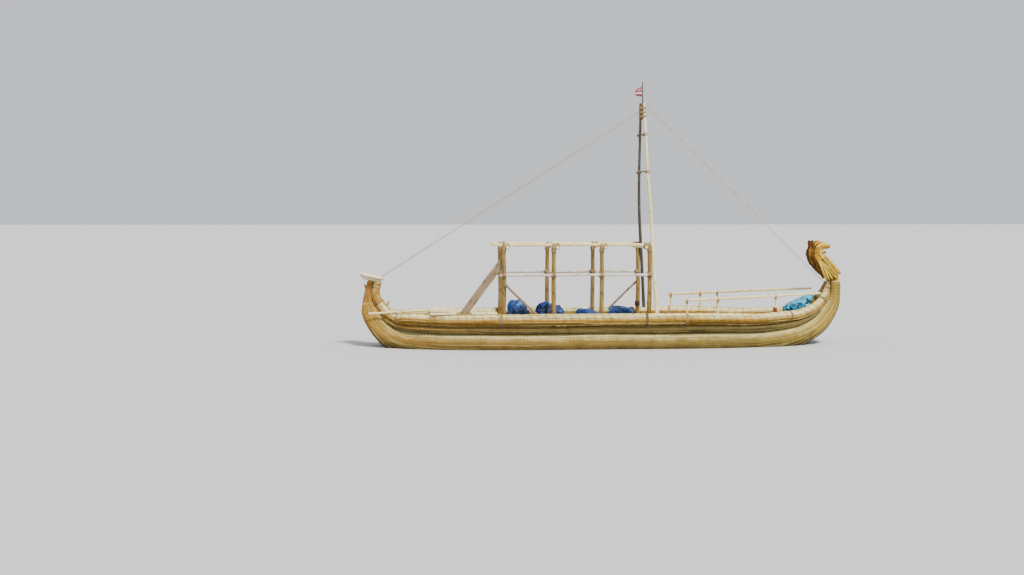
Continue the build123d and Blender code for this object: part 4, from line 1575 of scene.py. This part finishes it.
class REEDBOAT_OT_bow_rails(ReedOperator, bpy.types.Operator):
    """Low rails on sticks in the bow"""

    bl_idname = "reedboat.bow_rails"
    bl_label = "Bow rails"

    def execute(self, context):
        settings = context.scene.reedboat_timber
        rng = random.Random(settings.seed + 5)
        for name, (rail_stations, sticks) in BOW_RAILS.items():
            bend = 0.5 * settings.bend
            pole(f"bow_rail_{name}", rail_stations, rng, 14, bend, "pale_pole")
            rail = Run(rail_stations, 3)
            for number, x in enumerate(sticks, 1):
                _, y, z, _ = rail.at(rail.distance(0, x))[0]
                stations = [(x, y, 0.78, 0.020), (x + 0.004, y, 0.95, 0.019), (x, y, z - 0.01, 0.018)]
                made = pole_mesh(f"bow_stick_{number}_{name}", stations, rng, 12, 0.003)
                # The first stick stands for the CAD node of all the sticks on its side.
                nodes = [f"bow_rail_sticks_{name}"] if number == 1 else ()
                finish_piece(made, finishes.made_all["pale_pole"], nodes)
        return {"FINISHED"}


class REEDBOAT_OT_stern_gear(ReedOperator, bpy.types.Operator):
    """Boards over the gunwales and the long pole beside them"""

    bl_idname = "reedboat.stern_gear"
    bl_label = "Stern boards and pole"

    def execute(self, context):
        rng = random.Random(context.scene.reedboat_timber.seed + 7)
        for number in (1, 2, 3):
            low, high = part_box(f"stern_board_{number}")
            length, width = high.y - low.y, high.x - low.x
            made = sawn_board(f"stern_board_{number}_board", length, width, 0.028, rng, 0.003)
            made.data.transform(Matrix.Translation((low + high) / 2) @ Matrix.Rotation(math.pi / 2, 4, "Z"))
            finish_piece(made, finishes.made_all["board"], [f"stern_board_{number}"])
        low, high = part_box("gunwale_board")
        made = sawn_board("gunwale_board_board", high.x - low.x, high.y - low.y, 0.024, rng, 0.002)
        made.data.transform(Matrix.Translation((low + high) / 2))
        finish_piece(made, finishes.made_all["board"], ["gunwale_board"])
        stations = [
            (-4.53, -0.318, 0.856, 0.019), (-3.8, -0.320, 0.887, 0.018), (-3.10, -0.322, 0.917, 0.016),
        ]
        pole("stern_pole", stations, rng, 12, 0.003, "pale_pole")
        return {"FINISHED"}


# Cloth


def flat_sheet(name, size, cell, middle, seed):
    """Level sheet of square cells, hardly uneven, with a map of its weave in metres."""
    bm = bmesh.new()
    bm.loops.layers.uv.new("Skin")
    columns, rows = [max(4, round(side / cell)) for side in size]
    bmesh.ops.create_grid(bm, x_segments=columns, y_segments=rows, size=0.5)
    bmesh.ops.scale(bm, vec=(*size, 1.0), verts=bm.verts)
    skin = bm.loops.layers.uv.verify()
    for face in bm.faces:
        for loop in face.loops:
            loop[skin].uv = loop.vert.co.xy
    for vert in bm.verts:
        vert.co.z = 0.006 * noise.noise(vert.co * 7 + Vector((seed, 0, 0)))
    bmesh.ops.translate(bm, vec=middle, verts=bm.verts)
    return to_object(bm, name)


def block(low, high):
    """Box between two corners."""
    low, high = Vector(low), Vector(high)
    bm = bmesh.new()
    bmesh.ops.create_cube(bm, size=1.0)
    bmesh.ops.scale(bm, vec=high - low, verts=bm.verts)
    bmesh.ops.translate(bm, vec=(low + high) / 2, verts=bm.verts)
    return bm


def lumpy_core(low, high, seed):
    """Rounded uneven block, such as the inner folds of a heap make."""
    bm = bmesh.new()
    bmesh.ops.create_icosphere(bm, subdivisions=4, radius=1.0)
    middle, half = (low + high) / 2, (high - low) / 2
    for vert in bm.verts:
        place = Vector([math.copysign(abs(c) ** 0.55, c) * h for c, h in zip(vert.co, half)])
        vert.co = middle + place * (0.90 + 0.45 * noise.noise(place * 10 + Vector((seed, 3, 5))))
    return bm


def helper(bm, name, moves=None):
    """Solid that cloth meets while it settles. It may move in to its place from an offset."""
    made = to_object(bm, name)
    made.modifiers.new("Collision", "COLLISION")
    made.collision.thickness_outer = 0.004
    made.collision.cloth_friction = 12.0
    if moves:
        offset, first, last = moves
        for place, at in ((offset, first), ((0, 0, 0), last)):
            made.location = place
            made.keyframe_insert("location", frame=at)
    return made


def walls(low, high, reach, last):
    """Four upright blocks that close in on a box and gather the cloth between them."""
    thick = 0.12
    tall = (low.z - 0.1, high.z + 0.6)
    sides = (
        ((low.x - thick, low.y - 1, tall[0]), (low.x, high.y + 1, tall[1]), (-reach[0], 0, 0)),
        ((high.x, low.y - 1, tall[0]), (high.x + thick, high.y + 1, tall[1]), (reach[0], 0, 0)),
        ((low.x - 1, low.y - thick, tall[0]), (high.x + 1, low.y, tall[1]), (0, -reach[1], 0)),
        ((low.x - 1, high.y, tall[0]), (high.x + 1, high.y + thick, tall[1]), (0, reach[1], 0)),
    )
    return [
        helper(block(near, far), f"wall_{number}", (offset, 4, last))
        for number, (near, far, offset) in enumerate(sides, 1)
    ]


def settle(sheet, helpers, frames, stiffness, pins=""):
    """Lets a sheet come to rest on the helpers, keeps that shape and takes the helpers away."""
    cloth = sheet.modifiers.new("Cloth", "CLOTH")
    hold = cloth.settings
    hold.quality = 8
    hold.mass = 0.3
    hold.tension_stiffness = hold.compression_stiffness = 90.0
    hold.shear_stiffness = 30.0
    hold.bending_stiffness = stiffness
    hold.air_damping = 4.0
    hold.vertex_group_mass = pins
    meets = cloth.collision_settings
    meets.collision_quality = 3
    meets.distance_min = 0.005
    meets.use_self_collision = True
    meets.self_distance_min = 0.005
    scene = bpy.context.scene
    cloth.point_cache.frame_start = 1
    cloth.point_cache.frame_end = frames
    for frame_number in range(1, frames + 1):
        scene.frame_set(frame_number)
    rest = bpy.data.meshes.new_from_object(sheet.evaluated_get(bpy.context.evaluated_depsgraph_get()))
    name = sheet.name
    for used in (sheet, *helpers):
        bpy.data.objects.remove(used)
    scene.frame_set(1)
    rest.name = name
    made = bpy.data.objects.new(name, rest)
    scene.collection.objects.link(made)
    return made


def finish_cloth(made, material, node, thickness=0.003):
    """Gives settled cloth its thickness and finish."""
    smooth = made.modifiers.new("Subdivision", "SUBSURF")
    smooth.levels = smooth.render_levels = 1
    body = made.modifiers.new("Solidify", "SOLIDIFY")
    body.thickness = thickness
    body.offset = 0.0
    made.data.shade_smooth()
    finish_piece(made, material, [node])


COVERS = {
    # cover: its finish
    "cover_aft": "cover",
    "cover_middle": "cover",
    "cover_low": "striped_cover",
    "cover_fore": "cover",
}
# How far a flat cover reaches past each side of its heap, in heights of the heap
COVER_SPARE = 0.65
# Frames that are left for the cloth to settle once the walls stand
LAST_FRAMES = 16


class REEDBOAT_OT_covers(ReedOperator, bpy.types.Operator):
    """Crumpled covers heaped on the deck"""

    bl_idname = "reedboat.covers"
    bl_label = "Covers"

    def execute(self, context):
        settings = context.scene.reedboat_cloth
        for number, (node, material) in enumerate(COVERS.items()):
            low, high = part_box(node)
            tall = high.z - low.z
            size = (high.x - low.x + 2 * COVER_SPARE * tall, high.y - low.y + 2 * COVER_SPARE * tall)
            middle = Vector(((low.x + high.x) / 2, (low.y + high.y) / 2, high.z + 0.03))
            sheet = flat_sheet(f"{node}_cloth", size, settings.cell, middle, settings.seed + number)
            core_low = Vector((low.x + 0.05, low.y + 0.05, 2 * low.z - high.z))
            core_high = Vector((high.x - 0.05, high.y - 0.05, high.z - 0.035))
            reach = COVER_SPARE * tall + 0.04
            helpers = walls(low, high, (reach, reach), settings.frames - LAST_FRAMES)
            helpers.append(helper(lumpy_core(core_low, core_high, settings.seed + number), "core"))
            ground = block((low.x - 1, low.y - 1, DECK_TOP - 0.2), (high.x + 1, high.y + 1, DECK_TOP))
            helpers.append(helper(ground, "ground"))
            sheet = settle(sheet, helpers, settings.frames, 0.2)
            finish_cloth(sheet, finishes.made_all[material], node)
        return {"FINISHED"}


# Flat size of the bow cover, where its middle lies, and where the bundles that carry it begin
BOW_COVER_SIZE = (0.92, 0.60)
BOW_COVER_X = 3.995
BOW_COVER_REST_X = 3.2
# Block that the bow cover settles on: x, z and half width of its corners
BOW_CORE = (
    (3.63, 0.70, 0.13), (3.63, 0.91, 0.11), (3.88, 0.72, 0.13), (4.08, 0.84, 0.12),
    (4.23, 1.00, 0.06), (4.28, 1.15, 0.04), (4.20, 1.185, 0.05), (3.90, 1.05, 0.10),
)


class REEDBOAT_OT_bow_cover(ReedOperator, bpy.types.Operator):
    """Cover spread between the gunwales in the bow"""

    bl_idname = "reedboat.bow_cover"
    bl_label = "Bow cover"

    def execute(self, context):
        settings = context.scene.reedboat_cloth
        low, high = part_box("cover_bow")
        size = BOW_COVER_SIZE
        middle = (BOW_COVER_X, 0, high.z + 0.04)
        sheet = flat_sheet("cover_bow_cloth", size, 0.8 * settings.cell, middle, settings.seed + 9)
        bm = bmesh.new()
        for x, z, half in BOW_CORE:
            for y in (-half, half):
                bm.verts.new((x, y, z))
        bmesh.ops.convex_hull(bm, input=bm.verts)
        helpers = [helper(bm, "core")]
        for name in SIDES:
            for kind in ("gunwale", "main"):
                copy = bmesh.new()
                copy.from_mesh(bpy.data.objects[f"reeds_{kind}_{name}"].data)
                far = [v for v in copy.verts if v.co.x < BOW_COVER_REST_X]
                bmesh.ops.delete(copy, geom=far, context="VERTS")
                helpers.append(helper(copy, f"{kind}_{name}"))
        wide_low, wide_high = Vector((low.x, -0.2, low.z)), Vector((high.x, 0.2, high.z))
        helpers += walls(wide_low, wide_high, (0.2, 0.14), settings.frames - LAST_FRAMES)
        sheet = settle(sheet, helpers, settings.frames, 0.3)
        finish_cloth(sheet, finishes.made_all["bow_cover"], "cover_bow")
        return {"FINISHED"}


# Flat size of the flag, and how far its hoist stays off the staff's middle
FLAG_SIZE = (0.19, 0.19)
HOIST_GAP = 0.0145


class REEDBOAT_OT_flag(ReedOperator, bpy.types.Operator):
    """Small flag on the staff"""

    bl_idname = "reedboat.flag"
    bl_label = "Flag"

    def execute(self, context):
        settings = context.scene.reedboat_cloth
        fly, hoist = FLAG_SIZE
        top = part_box("flag")[1].z - 0.004
        edge = STAFF_X - HOIST_GAP
        sheet = flat_sheet("flag_cloth", (fly, hoist), 0.011, (0, 0, 0), settings.seed + 17)
        pins = sheet.vertex_groups.new(name="Hoist")
        for vert in sheet.data.vertices:
            x, height, uneven = vert.co
            if x > fly / 2 - 0.001:
                pins.add([vert.index], 1.0, "REPLACE")
            out = fly / 2 - x
            vert.co = (edge - out, 3 * uneven * out / fly, top - hoist / 2 + height)
        staff = bmesh.new()
        staff.from_mesh(bpy.data.objects["flagstaff_pole"].data)
        sheet = settle(sheet, [helper(staff, "staff")], 2 * settings.frames, 0.02, "Hoist")
        finish_cloth(sheet, finishes.made_all["flag"], "flag", 0.0015)
        return {"FINISHED"}


class REEDBOAT_OT_lashings(ReedOperator, bpy.types.Operator):
    """Rope tied round the joints of the shelter, the mast and the bow rails"""

    bl_idname = "reedboat.lashings"
    bl_label = "Rope lashings"

    def execute(self, context):
        rope = context.scene.reedboat_timber.rope_radius
        up, fore, port = (0, 0, 1), (1, 0, 0), (0, 1, 0)
        lines = []
        # Discs are the offset and radius of each pole that a turn goes round.
        top_discs = [((0, 0, 0.048), 0.027), ((0, 0, -0.05), 0.036)]
        for side in SIDES.values():
            y = side * POST_Y
            out = (0, side * MID_RAIL_OUT, 0)
            for x, cross_x in zip(POST_XS, CROSS_POLE_XS):
                lines += ring_lashing((x, y, 2.055), up, [((0, 0, 0), 0.039)], 6, rope)
                for shift in (-0.016, 0.0, 0.016):
                    lines += ring_lashing((x + shift, y, 2.11), fore, top_discs, 1, rope)
                lines += cross_lashing((x, y, MID_RAIL_Z), up, 0.040, fore, 0.024, out, 4, rope)
                lines += cross_lashing(
                    (cross_x, y, TOP_RAIL_Z), fore, 0.026, port, 0.028, (0, 0, -0.049), 3, rope
                )
        made = strands("shelter_lashings", lines, 1)
        finish_piece(made, finishes.made_all["rope"])
        lines = []
        legs = (Run(STARBOARD_LEG, 3), Run(PORT_LEG, 3))
        for z in RUNG_ZS:
            for leg in legs:
                at = leg.distance(2, z)
                here = leg.at(at)[0]
                ahead = leg.at(at + 0.05)[0][:3] - here[:3]
                lines += cross_lashing(
                    here[:3], tuple(ahead), here[3], port, 0.013, (-RUNG_AFT, 0, 0), 3, 0.8 * rope
                )
        for z in (4.62, 4.70, 4.78):
            places = [leg.at(leg.distance(2, z))[0] for leg in legs]
            discs = [((place[0] - STAFF_X, place[1], 0), place[3]) for place in places]
            discs.append(((0, 0, 0), 0.013))
            lines += ring_lashing((STAFF_X, 0, z), up, discs, 5, 0.8 * rope)
        made = strands("mast_lashings", lines, 1)
        finish_piece(made, finishes.made_all["rope"])
        lines = []
        rail_discs = [((0, 0, 0.02), 0.026), ((0, 0, -0.03), 0.017)]
        for stations, sticks in BOW_RAILS.values():
            rail = Run(stations, 3)
            for x in sticks:
                _, y, z, _ = rail.at(rail.distance(0, x))[0]
                lines += ring_lashing((x, y, z - 0.05), up, [((0, 0, 0), 0.019)], 5, 0.7 * rope)
                lines += ring_lashing((x, y, z - 0.02), fore, rail_discs, 2, 0.7 * rope)
        made = strands("bow_rail_lashings", lines, 1)
        finish_piece(made, finishes.made_all["rope"])
        # Red-brown cord at the foot of the foremost stick to starboard
        foot = ring_lashing((3.26, -0.545, 0.885), up, [((0, 0, 0), 0.021)], 8, 0.006)
        made = strands("bow_stick_lashing", foot, 1)
        finish_piece(made, finishes.made_all["red_rope"])
        # Dark ties: on the foremost post to port, at the forestay's foot and over the stern boards
        lines = ring_lashing((POST_XS[3], POST_Y, 0.95), up, [((0, 0, 0), 0.043)], 8, 0.006)
        _, foot, top = STAYS[0]
        way = Vector(top) - Vector(foot)
        lines += ring_lashing(Vector(foot) + 0.012 * way, way, [((0, 0, 0), 0.008)], 9, 0.006)
        for y in (-0.60, -0.57):
            over = [
                (-3.44, y, 0.872), (-3.43, y, 0.889), (-3.30, y + 0.02, 0.891),
                (-3.12, y + 0.05, 0.891), (-2.96, y + 0.06, 0.889),
            ]
            lines.append((over, 0.005))
        made = strands("dark_ties", lines, 1)
        finish_piece(made, finishes.made_all["dark_rope"])
        return {"FINISHED"}


TUFTS = (
    # foot, tip, how far both scatter, number of reeds
    ((-4.585, 0.0, 1.285), (-4.625, 0.0, 1.375), (0.008, 0.09, 0.03), 16),
    ((-4.250, -0.110, 0.905), (-4.160, -0.120, 1.045), (0.02, 0.015, 0.02), 12),
    ((-4.250, 0.110, 0.905), (-4.160, 0.120, 1.045), (0.02, 0.015, 0.02), 12),
    ((-4.010, -0.420, 0.690), (-3.870, -0.470, 0.705), (0.004, 0.004, 0.004), 2),
)


class REEDBOAT_OT_tufts(ReedOperator, bpy.types.Operator):
    """Loose reed ends that stick out of the stern"""

    bl_idname = "reedboat.tufts"
    bl_label = "Loose reed ends"

    def execute(self, context):
        rng = random.Random(context.scene.reedboat_reeds.seed + 21)
        lines = []
        for foot, tip, scatter, count in TUFTS:
            for _ in range(count):
                start = Vector(foot) + Vector([rng.uniform(-s, s) for s in scatter])
                end = Vector(tip) + 1.5 * Vector([rng.uniform(-s, s) for s in scatter])
                bend = (start + end) / 2 + Vector((0, 0, rng.uniform(0, 0.012)))
                lines.append(([start, bend, end], [0.0042, 0.0040, 0.0025]))
        made = strands("loose_reed_ends", lines)
        finish_piece(made, finishes.made_all["reed"])
        return {"FINISHED"}


# Stage


# Camera: lens in millimetres, x and y, and its angles, which look a little down and to the bow
CAMERA_LENS = 38.67
CAMERA_PLACE = (-3.2688, -21.224)
CAMERA_ANGLES = (math.radians(90 - 3.72), 0, math.radians(-4))
# Sun: colour, the way towards it, and its width in the sky
SUN_COLOUR = (1.0, 0.95, 0.86)
SUN_WAY = (0.35, -0.55, 1.0)
SUN_WIDTH = math.radians(12)


class REEDBOAT_OT_stage(ReedOperator, bpy.types.Operator):
    """Camera, floor at the waterline, and soft light"""

    bl_idname = "reedboat.stage"
    bl_label = "Stage"

    def execute(self, context):
        settings = context.scene.reedboat_stage
        camera = bpy.data.cameras.new("Camera")
        camera.lens = CAMERA_LENS
        camera.sensor_width = 36.0
        camera.clip_end = 2000.0
        seat = bpy.data.objects.new("Camera", camera)
        context.scene.collection.objects.link(seat)
        seat.location = (*CAMERA_PLACE, WATER_Z + settings.camera_height)
        seat.rotation_euler = CAMERA_ANGLES
        context.scene.camera = seat
        bm = bmesh.new()
        bmesh.ops.create_grid(bm, x_segments=1, y_segments=1, size=settings.floor_size / 2)
        bmesh.ops.translate(bm, verts=bm.verts, vec=(0, 0, WATER_Z))
        floor = to_object(bm, "floor")
        floor.data.materials.append(finishes.made_all["floor"])
        world = bpy.data.worlds.new("Sky")
        world.use_nodes = True
        background = world.node_tree.nodes["Background"]
        background.inputs["Color"].default_value = settings.world_colour
        background.inputs["Strength"].default_value = settings.world_strength
        context.scene.world = world
        light = bpy.data.lights.new("Sun", "SUN")
        light.energy = settings.sun_strength
        light.angle = SUN_WIDTH
        light.color = SUN_COLOUR
        sun = bpy.data.objects.new("Sun", light)
        context.scene.collection.objects.link(sun)
        sun.rotation_euler = Vector(SUN_WAY).normalized().to_track_quat("Z", "Y").to_euler()
        return {"FINISHED"}


class REEDBOAT_PT_panel(bpy.types.Panel):
    """The boat's settings and steps"""

    bl_idname = "REEDBOAT_PT_panel"
    bl_label = "Reed boat"
    bl_space_type = "VIEW_3D"
    bl_region_type = "UI"
    bl_category = "Reed boat"

    def draw(self, context):
        for name, settings in SETTINGS.items():
            box = self.layout.box()
            held = getattr(context.scene, name)
            for key in settings.__annotations__:
                box.prop(held, key)
        for operator in OPERATORS:
            self.layout.operator(operator.bl_idname)


OPERATORS = (
    REEDBOAT_OT_stage,
    REEDBOAT_OT_hull,
    REEDBOAT_OT_bindings,
    REEDBOAT_OT_deck,
    REEDBOAT_OT_stern,
    REEDBOAT_OT_head,
    REEDBOAT_OT_shelter,
    REEDBOAT_OT_mast,
    REEDBOAT_OT_bow_rails,
    REEDBOAT_OT_stern_gear,
    REEDBOAT_OT_covers,
    REEDBOAT_OT_bow_cover,
    REEDBOAT_OT_flag,
    REEDBOAT_OT_lashings,
    REEDBOAT_OT_tufts,
)
CLASSES = (*SETTINGS.values(), *OPERATORS, REEDBOAT_PT_panel)


def register():
    """Makes the classes and settings known."""
    for each in CLASSES:
        bpy.utils.register_class(each)
    for name, settings in SETTINGS.items():
        setattr(bpy.types.Scene, name, PointerProperty(type=settings))


def unregister():
    """Takes the settings and classes away again."""
    for name in SETTINGS:
        delattr(bpy.types.Scene, name)
    for each in reversed(CLASSES):
        bpy.utils.unregister_class(each)


def main():
    """Builds the whole boat."""
    register()
    finishes.made_all = make_finishes()
    for operator in OPERATORS:
        group_name, call = operator.bl_idname.split(".")
        getattr(getattr(bpy.ops, group_name), call)()
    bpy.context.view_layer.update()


if __name__ == "__main__":
    main()
